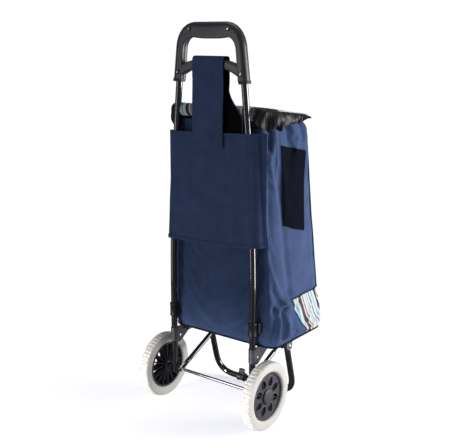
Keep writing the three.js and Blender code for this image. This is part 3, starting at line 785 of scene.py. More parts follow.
# %% Collars
for side, sign in SIDES.items():
    x = 123.5 * sign
    low, high = span(f"frame_collar_{side}")
    bottom, top = low[2], low[2] + 34.0
    profile = [(10.2, bottom), (11.0, bottom + 1.0), (11.2, bottom + 3.0), (10.6, bottom + 4.2),
               (10.4, top - 6.2), (11.2, top - 5.0), (11.2, top - 1.0), (10.4, top), (8.4, top),
               (8.4, bottom)]
    sleeve = turned("collar", profile, "Z", (x, 0, 0), 40, closed=True)
    tab_path = np.array([(x + sign * d, -9.0, 249.0) for d in (8.0, 12.0, 16.5, 17.6, 18.0)])
    tab = bar("collar", tab_path, (0, 0, 1), soft_box(1, 1, 0.35),
              [(14, 2.2), (14, 2.2), (13, 2.0), (12, 1.5), (11, 1.0)])
    turn = full_turn(48)
    loop_y = -20.0 + 12.5 * np.sign(np.cos(turn)) * np.abs(np.cos(turn)) ** 0.6
    loop_z = 243.0 + 13.0 * np.sign(np.sin(turn)) * np.abs(np.sin(turn)) ** 0.6
    loop_path = np.stack([np.full_like(turn, x + 11.0 * sign), loop_y, loop_z], axis=-1)
    following = np.concatenate([loop_path, loop_path[:2]])
    rings = sweep(following, (1, 0, 0), round_section(10) * 1.7)[:-1]
    rings[0] = rings[-1]
    loop = tidy_mesh(grid_mesh("collar", rings, wrap=True, flip=True))
    add_piece(f"collar_{side}", joined(f"collar_{side}", [sleeve, tab, loop]), black_plastic, "frame",
              (f"frame_collar_{side}",))
print("collars at height", low[2])

# %% [markdown]
# ## The wheels
# A foam tyre is moulded with a shallow zigzag that crosses itself into diamonds. The tread is a height added
# to a plain tyre profile: two slanting sine ridges, taken where they cross, fading out at the shoulders. The
# disc inside has eight leaf-shaped openings. Each of its eight sectors is a blend between two closed loops,
# the sector's own border and the leaf, so the web flows smoothly into every opening's rounded lip.

# %% Tyre
wheel_x, tyre_half, tyre_radius, bead_radius = 161.0, 14.0, 85.0, 59.0


def tyre_surface(sign):
    """A closed ring: a superellipse profile, pushed out by the tread's zigzag height.

    The profile's angle runs once round the section; the tread's height is the sum of two slanted waves,
    clipped so that only the crossings stand proud, and it is faded away from the tread's edges."""
    around = full_turn(576)[None]
    turn = full_turn(64)[:, None]
    power = 0.56
    across = tyre_half * np.sign(np.cos(turn)) * np.abs(np.cos(turn)) ** power
    upward = np.sign(np.sin(turn)) * np.abs(np.sin(turn)) ** power
    out = (tyre_radius + bead_radius) / 2 + (tyre_radius - bead_radius) / 2 * upward
    on_tread = np.clip((np.sin(turn) - 0.12) / 0.3, 0, 1)
    slant = across / tyre_half * np.pi * 1.15
    waves, depth, flat_top = 26, 1.9, 0.9
    ridges = np.cos(waves * around + slant) + np.cos(waves * around - slant)
    tread = depth * (np.clip(np.abs(ridges), 0, flat_top) / flat_top - 1.0) * on_tread
    radius = out + tread
    x = np.broadcast_to(wheel_x * sign + across * sign, radius.shape)
    return np.stack([x, radius * np.cos(around), AXLE_Z + radius * np.sin(around)], axis=-1)


for side, sign in SIDES.items():
    points = tyre_surface(sign)
    ring = np.concatenate([points, points[:1]])
    add_piece(f"foam_tyre_{side}", tidy_mesh(grid_mesh(f"foam_tyre_{side}", ring, wrap=True)), tyre_foam,
              f"wheel_{side}", (f"tyre_{side}",), 80.0)
print("tyre points:", points.shape[0] * points.shape[1])


# %% Wheel disc
def leaf_loop(count, grow=0.0):
    """A leaf standing on its stem, from 25.4 to 48.6 mm out from the axle and about 8 mm to each side.

    Its width is a sine of the way round, a little fuller towards the stem; grow makes it larger all round.
    Returns (count, 2) points of (radius, sideways), starting at the outer tip."""
    turn = full_turn(count)
    along = 37.0 + (11.6 + grow) * np.cos(turn)
    wide = (9.4 + grow) * np.sin(turn) * (0.86 - 0.2 * np.cos(turn))
    return np.stack([along, wide], axis=-1)


def sector_loop(count, inner, outer, half_turn):
    """The border of one eighth of the disc, with as many points as the leaf inside it.

    Equal turns of a ray from a place near the leaf's middle, 36 mm out; the nearest of the four border
    lines that the ray meets is the point."""
    ray = round_section(count)
    reach = np.linspace(0.1, 40.0, 1600)[:, None, None]
    trial = np.array([36.0, 0.0]) + reach * ray
    radius = np.linalg.norm(trial, axis=-1)
    off = np.abs(np.arctan2(trial[..., 1], trial[..., 0]))
    outside = (radius > outer) | (radius < inner) | (off > half_turn)
    first = np.argmax(outside, axis=0)
    return trial[first, np.arange(count)]


def disc_sector(sign, number, face_x, depth):
    """From the border, over a flat web, round a lip and down the leaf's wall to the inner face."""
    count = 64
    border = sector_loop(count, 21.0, 53.5, np.pi / 8)
    steps = [(border, face_x), (leaf_loop(count, 1.7), face_x), (leaf_loop(count, 0.9), face_x + 0.4),
             (leaf_loop(count, 0.4), face_x), (leaf_loop(count, 0.0), face_x - 1.0),
             (leaf_loop(count, 0.0), face_x - depth), (leaf_loop(count, 2.0), face_x - depth),
             (border, face_x - depth)]
    turn = (number + 0.5) * np.pi / 4
    radial = np.array([np.cos(turn), np.sin(turn)])
    side = np.array([-np.sin(turn), np.cos(turn)])
    rows = []
    for loop, x in steps:
        flat = loop[:, :1] * radial + loop[:, 1:] * side
        rows.append(np.concatenate([np.full((count, 1), x * sign), flat + [0.0, AXLE_Z]], axis=1))
    return grid_mesh("sector", np.array(rows), wrap=True, flip=sign > 0)


def wheel_disc(side, sign):
    """Eight sectors, the rim that the tyre grips, the hub's boss and sleeve, and sixteen ribs behind the web.

    The profiles are drawn with the web's face at 169.5 mm; what lies outside it moves in with it."""
    name = f"wheel_disc_{side}"
    pieces = [disc_sector(sign, number, 167.9, 4.0) for number in range(8)]
    at = (0, 0, AXLE_Z)
    rim = [(53.2, 165.4), (53.2, 169.6), (54.6, 170.6), (55.8, 173.0), (58.6, 173.2), (59.4, 172.0),
           (59.4, 149.6), (58.4, 148.2), (56.6, 148.2), (55.6, 149.4), (54.8, 165.2)]
    boss = [(21.6, 165.4), (21.6, 169.8), (20.6, 170.2), (19.8, 169.0), (7.4, 169.0), (7.4, 165.4)]
    sleeve = [(11.5, 166.0), (11.0, 149.0), (10.2, 148.2), (7.4, 148.2), (7.4, 166.0)]
    web_inner, web_moved_in = 165.0, 1.6
    for profile in (rim, boss, sleeve):
        moved = [(r, (x - (web_moved_in if x > web_inner else 0.0)) * sign) for r, x in profile]
        pieces.append(turned(name, moved, "X", at, 72, closed=True))
    for number in range(16):
        turn = number * np.pi / 8
        radial = np.array([0, math.cos(turn), math.sin(turn)])
        path = np.array([r * radial + [157.5 * sign, 0, AXLE_Z] for r in (10.5, 32.0, 55.5)])
        rib_scale = [(8.6, 1.1), (8.2, 0.9), (8.4, 1.0)]
        pieces.append(bar(name, path, (1, 0, 0), soft_box(1, 1, 0.3, 4), rib_scale))
    return joined(name, pieces)


for side, sign in SIDES.items():
    add_piece(f"wheel_disc_{side}", tidy_mesh(wheel_disc(side, sign)), hub_plastic, f"wheel_{side}",
              (f"wheel_hub_{side}",), 30.0)
    low, high = span(f"hub_cap_{side}")
    dome = [(0.0, 174.0), (9.0, 173.8), (15.0, 173.2), (18.2, 172.2), (19.2, 170.8), (19.2, 169.3),
            (0.0, 169.3)]
    cap = turned(f"cap_{side}", [(r, x * sign) for r, x in dome], "X", (0, 0, AXLE_Z), 56)
    add_piece(f"wheel_cap_{side}", tidy_mesh(cap), hub_plastic, f"wheel_{side}",
              (f"hub_cap_{side}",))

# %% [markdown]
# ## The moulded handle
# The handle is an upside-down U of moulded plastic in two half shells, so a thin seam runs all round it.
# Its outer and inner outlines are each one smooth curve, and a section between them changes width along the
# way. Each half shell is a D: rounded outside, flat on the seam. A lens-shaped insert with rows of small
# raised dots sits in the top bar, and four screws sit in recesses.


# %% Handle outlines
def bezier(points, t):
    """A cubic curve through its end points, pulled by the two middle ones."""
    a, b, c, d = (np.array(p, dtype=float) for p in points)
    t = np.asarray(t)[:, None]
    return (1 - t) ** 3 * a + 3 * (1 - t) ** 2 * t * b + 3 * (1 - t) * t ** 2 * c + t ** 3 * d


def half_outline(foot, shoulder, pull_up, pull_in, top, crown, count):
    """From the foot straight up to the shoulder, round to the top, then along to the middle of the bar."""
    leg = np.linspace(foot, shoulder, count, endpoint=False)
    turn = bezier((shoulder, pull_up, pull_in, top), np.linspace(0, 1, count, endpoint=False))
    bar_run = bezier((top, crown, (crown[0] / 2, crown[1]), (0.0, crown[1])), np.linspace(0, 1, count))
    return np.concatenate([leg, turn, bar_run])


outer_half = half_outline((109, 826), (99.5, 906), (95.5, 936), (76, 960), (43, 960), (28, 960.0), 22)
inner_half = half_outline((83.5, 826), (77.5, 893), (76, 913), (68, 925.5), (50, 926), (30, 922.0), 22)
handle_outer = np.concatenate([outer_half * [-1, 1], outer_half[-2::-1]])
handle_inner = np.concatenate([inner_half * [-1, 1], inner_half[-2::-1]])
handle_deep = 11.8
face_share = 0.88
print("handle outline points:", len(handle_outer))


# %% Handle shells
def handle_shell(name, facing):
    """Between the outlines: a section with a quarter-round outer shoulder, a small step down to a flat
    face, a tight inner corner and a flat seam. facing +1 is the half towards the person pushing."""
    round_over = np.linspace(0, np.pi / 2, 9)
    corner = np.linspace(0, np.pi / 2, 5)
    side = np.concatenate([0.3 + 0.7 * np.cos(round_over), [0.27, 0.22, 0.17, 0.0, -0.4, -0.7],
                           -0.8 - 0.2 * np.sin(corner), [-1.0, -0.985, -0.5, 0.0, 0.5, 0.985]])
    deep = np.concatenate([np.sin(round_over), [0.99, 0.9], [face_share] * 4,
                           0.7 + 0.18 * np.cos(corner), [0.03, 0.0, 0.0, 0.0, 0.0, 0.0]])
    half_seam = 0.25
    deep = half_seam + deep * (handle_deep - half_seam)
    middle = (handle_outer + handle_inner) / 2
    half = (handle_outer - handle_inner) / 2
    flat = middle[:, None] + half[:, None] * side[None, :, None]
    y = np.broadcast_to(facing * deep, flat.shape[:2])
    points = np.stack([flat[..., 0], y, flat[..., 1]], axis=-1)
    return grid_mesh(name, points, wrap=True, caps=("start", "end"), flip=facing > 0)


for name, facing in (("handle_back", 1), ("handle_front", -1)):
    shell = tidy_mesh(handle_shell(name + "_shell", facing))
    add_piece(name + "_shell", shell, handle_plastic, "frame", (name,), 50.0)


# %% Handle cuffs
def handle_cuffs():
    """The plain cuff at the bottom of each leg, where the tube goes in: a short box section round it."""
    parts = []
    for sign in SIDES.values():
        heights = (822.5, 823.2, 829.0, 830.0)
        path = [((96.6 - (z - 826.0) * 0.09) * sign, 0, z) for z in heights]
        parts.append(bar("cuffs", path, (1, 0, 0), soft_box(1, 1, 0.4),
                         [(11.4, 10.4), (12.2, 11.2), (12.2, 11.2), (11.4, 10.4)]))
    return joined("handle_cuffs", parts)


add_piece("handle_cuffs", tidy_mesh(handle_cuffs()), black_plastic, "frame")


# %% Grip insert
def grip_face(facing):
    """A lens between two arcs, domed a little: 36 mm to each side at its top and 42 at its bottom, and 8.6 mm
    up and down from its middle."""
    u, v = np.meshgrid(np.linspace(-1, 1, 61), np.linspace(-1, 1, 17))
    lean = 1.0 + 0.09 * (1 - v)
    x = 37.0 * u * lean * 0.96
    z = 942.0 + v * 8.6 - 1.2 * (1 - u * u) * (1 - v) / 2
    edge = np.clip(np.minimum((1 - np.abs(u)) * 9, (1 - np.abs(v)) * 2.4), 0, 1)
    y = facing * (handle_deep * face_share - 0.5 + 1.3 * np.sqrt(np.clip(1 - (1 - edge) ** 2, 0, 1)))
    return grid_mesh("grip", np.stack([x, y, z], axis=-1), flip=facing > 0)


def grip_dots(facing):
    """Rows of small domes: an icosphere's points scaled flat and copied to each place in one array."""
    seed = bmesh.new()
    bmesh.ops.create_icosphere(seed, subdivisions=1, radius=1.0)
    ball = np.array([v.co[:] for v in seed.verts])
    faces = np.array([[v.index for v in f.verts] for f in seed.faces])
    seed.free()
    columns, rows = np.meshgrid(np.linspace(-30, 30, 19), np.linspace(936.5, 947.5, 5))
    face_y = facing * (handle_deep * face_share + 0.75)
    spots = np.stack([columns.ravel(), np.full(columns.size, face_y), rows.ravel()], axis=-1)
    points = spots[:, None] + ball[None] * [0.95, 0.55, 0.95]
    every = faces[None] + (np.arange(len(spots)) * len(ball))[:, None, None]
    mesh = bpy.data.meshes.new("dots")
    mesh.from_pydata(place(points.reshape(-1, 3)), [], every.reshape(-1, 3).tolist())
    mesh.uv_layers.new(name="UVMap")
    return mesh


grip = joined("grip_pad", [grip_face(1), grip_dots(1), grip_face(-1), grip_dots(-1)])
add_piece("grip_pad", grip, grip_rubber, "frame", ("grip_insert",), 60.0)


# %% Handle screws
def screw(x, z):
    """A pan head with a cross cut into it, standing in a shallow round recess ring."""
    head = [(0.0, 13.6), (1.8, 13.6), (3.0, 13.2), (3.5, 12.4), (3.5, 11.6), (0.0, 11.6)]
    dome = turned("screw", head, "Y", (x, 0, z), 28)
    slots = [bar("screw", [(x - dx * 2.3, 13.62, z - dz * 2.3), (x + dx * 2.3, 13.62, z + dz * 2.3)],
                 (dz, 0, dx), soft_box(0.34, 0.12, 0.1, 2)) for dx, dz in ((0.7, 0.7), (0.7, -0.7))]
    return joined("screw", [dome] + slots)


recess = [(3.9, 12.0), (4.2, 12.9), (5.2, 12.9), (5.7, 12.2), (5.7, 11.4), (3.9, 11.4)]
for spot in ("top", "low"):
    for side in SIDES:
        node = f"handle_screw_{spot}_{side}"
        low, high = span(node)
        x, z = (low[0] + high[0]) / 2, (low[2] + high[2]) / 2
        add_piece(f"screw_{spot}_{side}", tidy_mesh(screw(x, z)), zinc, "frame", (node,))
        cup = turned("cup", recess, "Y", (x, 0, z), 32, closed=True)
        add_piece(f"screw_cup_{spot}_{side}", cup, handle_plastic, "frame")

# %% Cross brace
brace_reach = 86.0
x = np.linspace(-brace_reach, brace_reach, 61)
brace_half = 8.6
bow = (np.abs(x) / brace_reach) ** 2
arch = 870.5 - 21.0 * bow
brace_path = np.stack([x, np.zeros_like(x), arch], axis=-1)
brace_scale = np.stack([brace_half + 3.0 * bow, np.full_like(x, 10.0)], axis=-1)
brace = bar("brace_arch", brace_path, (0, 0, 1), soft_box(1, 1, 0.32), brace_scale)
lip_path = brace_path - np.stack([0 * x, 0 * x, brace_scale[:, 0] - 2.0], axis=-1)
lip = bar("brace_arch", lip_path, (0, 0, 1), soft_box(1.6, 11.2, 1.2))
add_piece("brace_arch", tidy_mesh(joined("brace_arch", [brace, lip])), handle_plastic, "frame",
          ("cross_brace",))
print("brace top at", round(float((arch + brace_half).max()), 1))

# %% [markdown]
# ## The bag
# The bag is one tall shell of woven canvas: nearly upright at the back, where it hangs on the uprights, and
# fuller towards the bottom at the front and the sides. Its plan is a rectangle with round corners, so the
# same outline, scaled differently at each height, gives the whole shell. On that come the things that make
# it cloth: the belly of each panel, a long soft crease down each side where the bag folds flat, crumples low
# down beside the collars, and small gathers where the drawcord pulls in the rim. A short cloth simulation
# then lets the canvas, cut a little too large for its seams, find its own shallow buckles.

# %% Bag outline
rim_z, floor_z = span("bag_body")[1][2], span("bag_body")[0][2]
bag_columns, bag_rows = 260, 100
bag_drop, bag_back, bag_middle_y = 536.0, -13.0, -110.0


def outline_fractions(count):
    """A round-cornered rectangle cut into equal steps, as fractions of the half width and half depth, with
    the distance run along it. It starts in the middle of the back and runs towards the trolley's right."""
    half = np.array([157.0, 103.0])
    corners = np.roll(soft_box(*half, 30.0, 40), -40, axis=0)
    loop = np.concatenate([[[0.0, half[1]]], corners, [[0.0, half[1]]]])
    even = np.linspace(0, run_along(loop)[-1], count + 1)[:-1]
    spots = point_at(loop, even)
    tangent = np.roll(spots, -1, axis=0) - np.roll(spots, 1, axis=0)
    outward = unit(tangent[:, ::-1] * [1.0, -1.0])
    return spots / half, even, outward


def share_down(z):
    """How far down the bag a height is: 0 at the rim and 1 at the bottom."""
    return np.clip((rim_z - z) / bag_drop, 0, 1)


def bag_half_width(z):
    """147 mm at the rim, widening by 33 mm times the share of the way down to the power 1.25."""
    return 147.0 + 33.0 * share_down(z) ** 1.25


def bag_front(z):
    """The front wall's Y: 204 mm from the axle at the rim, and 39 mm more at the bottom."""
    return -204.0 - 39.0 * share_down(z) ** 1.1


fractions, run, outward = outline_fractions(bag_columns)
perimeter = run[-1] + run[1]
print("bag outline", round(float(perimeter)), "mm round")


# %% Bag relief
def crease(y, z, start, end, height, width):
    """A fold along a line on the side of the bag: the height times exp(-(distance / width) squared)."""
    start, end = np.array(start, dtype=float), np.array(end, dtype=float)
    along = end - start
    share = ((y - start[0]) * along[0] + (z - start[1]) * along[1]) / (along @ along)
    share = np.clip(share, 0, 1)
    off = np.hypot(y - start[0] - share * along[0], z - start[1] - share * along[1])
    return height * bell(off, width)


def ripple(q, z, seed):
    """Slow uneven waves: the mean of five slanted sines whose directions and lengths come from a seed."""
    draw = np.random.default_rng(seed)
    total = 0.0
    for _ in range(5):
        long_q, long_z, phase = draw.uniform(60, 190), draw.uniform(90, 260), draw.uniform(0, 6.28)
        total = total + np.sin(2 * np.pi * (q / long_q * draw.choice([-1, 1]) + z / long_z) + phase)
    return total / 5


# Each fold is (start, end, height, width), its ends in (Y, Z) on a side and in (X, Z) on the back.
side_folds = [
    ((-54, 313), (-84, 307), 8.0, 8), ((-60, 306), (-26, 276), 8.0, 9), ((-84, 300), (-110, 262), 5.0, 11),
    ((-28, 294), (-16, 214), -10.0, 8), ((-42, 270), (-26, 208), 9.0, 8), ((-64, 288), (-48, 222), -9.0, 9),
    ((-78, 262), (-70, 206), 6.0, 11), ((-96, 250), (-140, 210), 4.0, 14),
    ((-124, 290), (-106, 250), -6.0, 9), ((-70, 330), (-100, 322), -6.0, 9),
    ((-34, 738), (-30, 676), -13.0, 8), ((-50, 736), (-58, 640), 6.0, 9), ((-84, 732), (-122, 668), -8.0, 12),
    ((-108, 732), (-140, 694), 4.0, 9), ((-150, 728), (-164, 690), -5.0, 9)]
back_folds = [
    ((-96, 300), (-60, 226), 3.5, 16), ((-30, 330), (60, 300), 2.2, 20), ((84, 330), (98, 250), 3.5, 14),
    ((20, 260), (-50, 215), 2.4, 18), ((-92, 420), (-80, 320), -2.0, 15)]


def bag_relief(x, y, z, q):
    """How far each point stands out from the plain shell, in millimetres; outwards is positive."""
    on_side = smooth(np.abs(fractions[None, :, 0]), 0.9, 0.99)
    on_front = smooth(-fractions[None, :, 1], 0.9, 0.99)
    on_back = smooth(fractions[None, :, 1], 0.9, 0.99)
    crease_y = -57.0 - (723.0 - z) * 0.093
    crease_share = np.where(x < 0, 1.0, 0.8)
    high = smooth(z, 205, 330)
    relief = on_side * high * (-5.2 * bell(y - crease_y, 10.0) + 3.4 * bell(y - crease_y - 27.0, 17.0))
    relief = relief + on_side * 4.0 * bell(y + 150.0, 40.0) * smooth(z, 320, 420)
    for start, end, height, width in side_folds:
        relief = relief + crease_share * on_side * crease(y, z, start, end, height, width)
    for start, end, height, width in back_folds:
        relief = relief + on_back * crease(x, z, start, end, height, width)
    belly = np.sin(np.pi * np.clip((z - 199.0) / bag_drop, 0, 1)) * np.clip(1 - np.abs(x / 150.0) ** 2, 0, 1)
    relief = relief + on_front * (6.0 * belly + 1.6 * np.cos(x / 17.0) * smooth(z, 560, 735))
    relief = relief + (1.8 * on_side + 2.0 * on_front + 0.8 * on_back) * ripple(q, z, 5)
    gathers = np.sin(q / 4.1 + 1.3 * np.sin(q / 31.0)) * (0.6 + 0.4 * np.sin(q / 17.0))
    return relief + 2.6 * gathers * smooth(z, 670, 728) * (1 - 0.6 * on_back)


def bag_grid():
    """The shell's points: the outline scaled at each height, moved along its outward direction by the
    relief, with a shoulder that draws the rim in by up to 10 mm at the sides and 34 mm at the front. The
    left side hangs slacker, so it is narrower low down and its back corner is rounder."""
    z = np.linspace(floor_z + 0.8, rim_z, bag_rows)[:, None]
    half_wide = bag_half_width(z)
    shoulder = 1 - np.sqrt(np.clip(1 - smooth(z, 694, 738) ** 2, 0, 1))
    half_wide = half_wide - 10.0 * shoulder
    front = bag_front(z) + 34.0 * shoulder
    a, b = fractions[None, :, 0], fractions[None, :, 1]
    x, y = a * half_wide, (front + bag_back) / 2 + b * (bag_back - front) / 2
    drop = share_down(z)
    x = x - np.where(x > 0, 1.0, 0.0) * a * (9.5 * drop + (6.0 + 22.0 * drop) * smooth(y, -95.0, bag_back))
    q = np.broadcast_to(run[None], x.shape)
    relief = bag_relief(x, y, z, q)
    tuck = smooth(z, floor_z, floor_z + 26.0)
    relief = relief * tuck - 6.0 * (1 - tuck)
    x = x + outward[None, :, 0] * relief
    y = y + outward[None, :, 1] * relief
    return np.stack([x, y, np.broadcast_to(z, x.shape)], axis=-1)


bag_points = bag_grid()
bag_uv = np.stack(np.meshgrid(np.append(run, perimeter), bag_points[:, 0, 2]), axis=-1)
print("bag shell:", bag_points.shape)


# %% A short cloth simulation
def let_cloth_settle(points, pinned, frames, growth, limit, wrap):
    """The grid as Cloth whose threads are `growth` too long for their seams: it buckles between its pins.

    pinned is a grid of 0 to 1 weights. No point may end more than `limit` millimetres from its start."""
    mesh = grid_mesh("cloth_trial", points, wrap=wrap)
    trial = bpy.data.objects.new("cloth_trial", mesh)
    bpy.context.scene.collection.objects.link(trial)
    pins = trial.vertex_groups.new(name="pins")
    for number, weight in enumerate(pinned.ravel()):
        if weight > 0:
            pins.add([number], float(weight), "REPLACE")
    settings = trial.modifiers.new("settle", "CLOTH").settings
    settings.quality, settings.mass = 5, 0.3
    settings.tension_stiffness = settings.compression_stiffness = 20.0
    settings.shear_stiffness, settings.bending_stiffness = 8.0, 0.35
    settings.shrink_min = settings.shrink_max = -growth
    settings.vertex_group_mass, settings.pin_stiffness = "pins", 1.0
    settings.effector_weights.gravity = 0.3
    scene = bpy.context.scene
    for frame_number in range(1, frames + 1):
        scene.frame_set(frame_number)
    shaped = trial.evaluated_get(bpy.context.evaluated_depsgraph_get()).to_mesh()
    flat = np.empty(len(shaped.vertices) * 3)
    shaped.vertices.foreach_get("co", flat)
    settled = (flat.reshape(points.shape) - [0.0, AXLE_Y, 0.0]) / MM
    bpy.data.objects.remove(trial)
    scene.frame_set(1)
    move = settled - points
    far = np.linalg.norm(move, axis=-1, keepdims=True)
    return points + move * np.minimum(1.0, limit / np.maximum(far, 1e-9))


rows_up = np.linspace(0, 1, bag_rows)[:, None]
held = np.where((rows_up > 0.93) | (rows_up < 0.015), 1.0, 0.0) * np.ones((1, bag_columns))
corner_held = (np.abs(np.abs(fractions[None, :, 0]) - 0.93) < 0.02) & (np.abs(fractions[None, :, 1]) > 0.8)
held = np.maximum(held, np.where(corner_held, 1.0, 0.0))
bag_points = let_cloth_settle(bag_points, held, frames=12, growth=0.02, limit=6.0, wrap=True)
print("bag spans", np.round(np.ptp(bag_points.reshape(-1, 3), axis=0)))

# %% [markdown]
# The folded trolley lies flat: the platform swings up and the bag's front is pressed back against the
# uprights. Real canvas crumples there. Here each soft piece is only given a mesh of its own; nothing flattens
# it.


def folds_flat(piece):
    """The piece is given a mesh of its own; nothing here flattens it."""
    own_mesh(piece)
    return piece


def cloth_wall(piece, thick, offset=-1.0):
    """Real thickness for a sheet of cloth."""
    wall = piece.modifiers.new("cloth_thickness", "SOLIDIFY")
    wall.thickness, wall.offset = thick * MM, offset
    return piece


def finer(piece):
    """One level of smoothing subdivision, the same on screen and in the render."""
    smoother = piece.modifiers.new("finer", "SUBSURF")
    smoother.levels = smoother.render_levels = 1
    return piece


shell = add_piece("bag_shell", grid_mesh("bag_shell", bag_points, wrap=True, uv=bag_uv), navy_canvas, "frame",
                  ("bag_body",), 80.0)
folds_flat(finer(shell))
centre = bag_points.mean(axis=1, keepdims=True)
inward = unit((centre - bag_points) * [1, 1, 0])
lining_points = (bag_points + inward * 2.4)[::-1]
folds_flat(add_piece("bag_lining", grid_mesh("bag_lining", lining_points[::2], wrap=True), lining_and_painted_shade, "frame",
                     (), 80.0))
share = np.linspace(0.02, 1.0, 14)[:, None, None]
ring = bag_points[:1]
bottom = centre[:1] + (ring - centre[:1]) * share
bottom = bottom + np.array([0, 0, 1.0]) * (0.4 * np.sin(share * 9.0))
under = add_piece("bag_bottom", grid_mesh("bag_bottom", bottom, wrap=True, caps=("start",)), navy_canvas,
                  "frame")
folds_flat(cloth_wall(under, 1.2, 1.0))


# %% Piping and corner seams
def ring_bar(name, loop, radius, count=8):
    """A round cord along a closed loop of points."""
    tangent = unit(np.roll(loop, -1, axis=0) - np.roll(loop, 1, axis=0))
    second = unit(np.cross(tangent, np.broadcast_to([0.0, 0.0, 1.0], loop.shape)))
    first = np.cross(second, tangent)
    section = round_section(count) * radius
    points = loop[:, None] + first[:, None] * section[None, :, :1] + second[:, None] * section[None, :, 1:]
    points = np.concatenate([points, points[:1]])
    return tidy_mesh(grid_mesh(name, points, wrap=True))


edge = bag_points[0] + unit(bag_points[0] - centre[0]) * 0.8
folds_flat(add_piece("bottom_piping", ring_bar("bottom_piping", edge, 2.3), binding, "frame"))
rim = bag_points[-1] + [0, 0, 0.6]
folds_flat(add_piece("rim_binding", ring_bar("rim_binding", rim, 1.9), binding, "frame"))
corner_columns = [int(np.argmin(np.hypot(fractions[:, 0] - a, fractions[:, 1] + 0.955)))
                  for a in (-0.965, 0.965)]
out = -inward
for side, column in zip(("right", "left"), corner_columns):
    seam = bag_points[2:-8, column] + out[2:-8, column] * 0.7
    fold = bar(f"corner_seam_{side}", seam, (1, 0, 0), round_section(8) * 1.5)
    folds_flat(add_piece(f"corner_seam_{side}", fold, navy_canvas, "frame"))
print("seams on columns", corner_columns)

# %% [markdown]
# ## Pockets
# Two pockets are sewn flat on the bag. Both are patches of the shell itself, moved out a little: a patch
# reads the shell's grid at its own places, so it follows every belly and crease under it.


# %% Reading the shell
def on_shell(distance_run, height, out_by):
    """Points on the bag's shell at a distance run round the outline and a height, moved out by out_by.

    The grid is read between its points: a weighted mean of the four around each place."""
    column = np.asarray(distance_run) / perimeter * bag_columns
    first, last = bag_points[0, 0, 2], bag_points[-1, 0, 2]
    row = (np.asarray(height) - first) / (last - first) * (bag_rows - 1)
    row = np.clip(row, 0, bag_rows - 1.001)
    c0, r0 = np.floor(column).astype(int), np.floor(row).astype(int)
    fc, fr = (column - c0)[..., None], (row - r0)[..., None]
    c1 = (c0 + 1) % bag_columns
    c0 = c0 % bag_columns
    read = ((1 - fr) * ((1 - fc) * bag_points[r0, c0] + fc * bag_points[r0, c1])
            + fr * ((1 - fc) * bag_points[r0 + 1, c0] + fc * bag_points[r0 + 1, c1]))
    away = unit((read - [0.0, bag_middle_y, 0.0]) * [1, 1.3, 0])
    return read + away * np.asarray(out_by)[..., None]


def run_at_side(y, z):
    """Distance run round the outline where the right side wall has this Y at this height."""
    front = bag_front(z)
    b = (np.asarray(y) - (front + bag_back) / 2) / ((bag_back - front) / 2)
    side = slice(int(bag_columns * 0.12), int(bag_columns * 0.44))
    order = np.argsort(fractions[side, 1])
    return np.interp(b, fractions[side, 1][order], run[side][order])


# %% Side pocket
def side_patch(out_by, count=(46, 60)):
    """The dark pocket: a four-sided patch between its corners' Y and height, eased out from its edges."""
    s, t = np.meshgrid(np.linspace(0, 1, count[0]), np.linspace(0, 1, count[1]))
    back_y, front_y = -84.0 + 10.0 * t, -161.0 - 14.0 * t
    y = back_y + (front_y - back_y) * s
    z = (491.0 + (466.0 - 491.0) * s) * (1 - t) + (681.0 + (659.0 - 681.0) * s) * t
    rise = np.clip(np.minimum(np.minimum(s, 1 - s) * 14, np.minimum(t, 1 - t) * 24), 0, 1)
    return on_shell(run_at_side(y, z), z, 1.0 + out_by * rise ** 0.5)


patch = side_patch(1.6)
pocket = add_piece("mesh_pocket", grid_mesh("mesh_pocket", patch), mesh_cloth, "frame",
                   ("side_pocket",), 80.0)
folds_flat(cloth_wall(pocket, 1.0))
border = np.concatenate([patch[0, ::-1], patch[1:, 0], patch[-1, 1:], patch[-2:0:-1, -1]])
folds_flat(add_piece("pocket_binding", ring_bar("pocket_binding", border, 1.1, 6), binding, "frame"))


# %% Striped front pocket
def front_patch(count=(300, 40)):
    """Round the bag's front from one side's slanting edge to the other's, 203.5 mm to 306 mm up.

    Its top edge sags 3 mm in the middle. The stripes run up it, and slant near the right side's edge."""
    s, t = np.meshgrid(np.linspace(0, 1, count[0]), np.linspace(0, 1, count[1]))
    bottom, top = 203.5, 306.0
    z = bottom + (top - bottom) * t
    right = run_at_side(-160.0 + 58.0 * t ** 0.8, z)
    left = perimeter - right
    q = right + (left - right) * s
    sag = 3.0 * bell(q - perimeter / 2, 90.0) * t
    points = on_shell(q, z - sag, 2.2 + 1.2 * np.clip(np.minimum(s, 1 - s) * 40, 0, 1))
    middle_z = 250.0
    lean = 12.0 * np.sin(np.clip((middle_z - z) / 60.0, -1, 1) * np.pi / 2)
    return points, np.stack([(q - right) + lean * np.exp(-(q - right) / 50.0), z], axis=-1)


patch, patch_uv = front_patch()
pocket = add_piece("striped_pocket", grid_mesh("striped_pocket", patch, uv=patch_uv), stripe_canvas, "frame",
                   ("front_pocket",), 80.0)
folds_flat(cloth_wall(pocket, 1.1))
top_edge = patch[-1, ::2] + [0, 0, 0.4]
hem = bar("pocket_hem", top_edge, (0, 0, 1), round_section(8) * 0.8)
folds_flat(add_piece("pocket_hem", hem, binding, "frame"))
print("pocket patches:", patch.shape)

# %% [markdown]
# ## The back panel
# A wide band of canvas wraps the two uprights and is sewn to the bag's back corners, which is how the bag
# hangs on the frame. Between the tubes it is stretched nearly flat; it rounds over each tube, dips beside
# it and rises in one last soft fold before the seam.


# %% Back panel sheet
def tube_x(z):
    """The upright's distance from the middle at a height: straight, then leaning in above the bend."""
    return 123.5 - smooth(z, 400, 460) * 0.3 - np.clip((z - 430.0) / 298.0, 0, 1.6) * 18.4


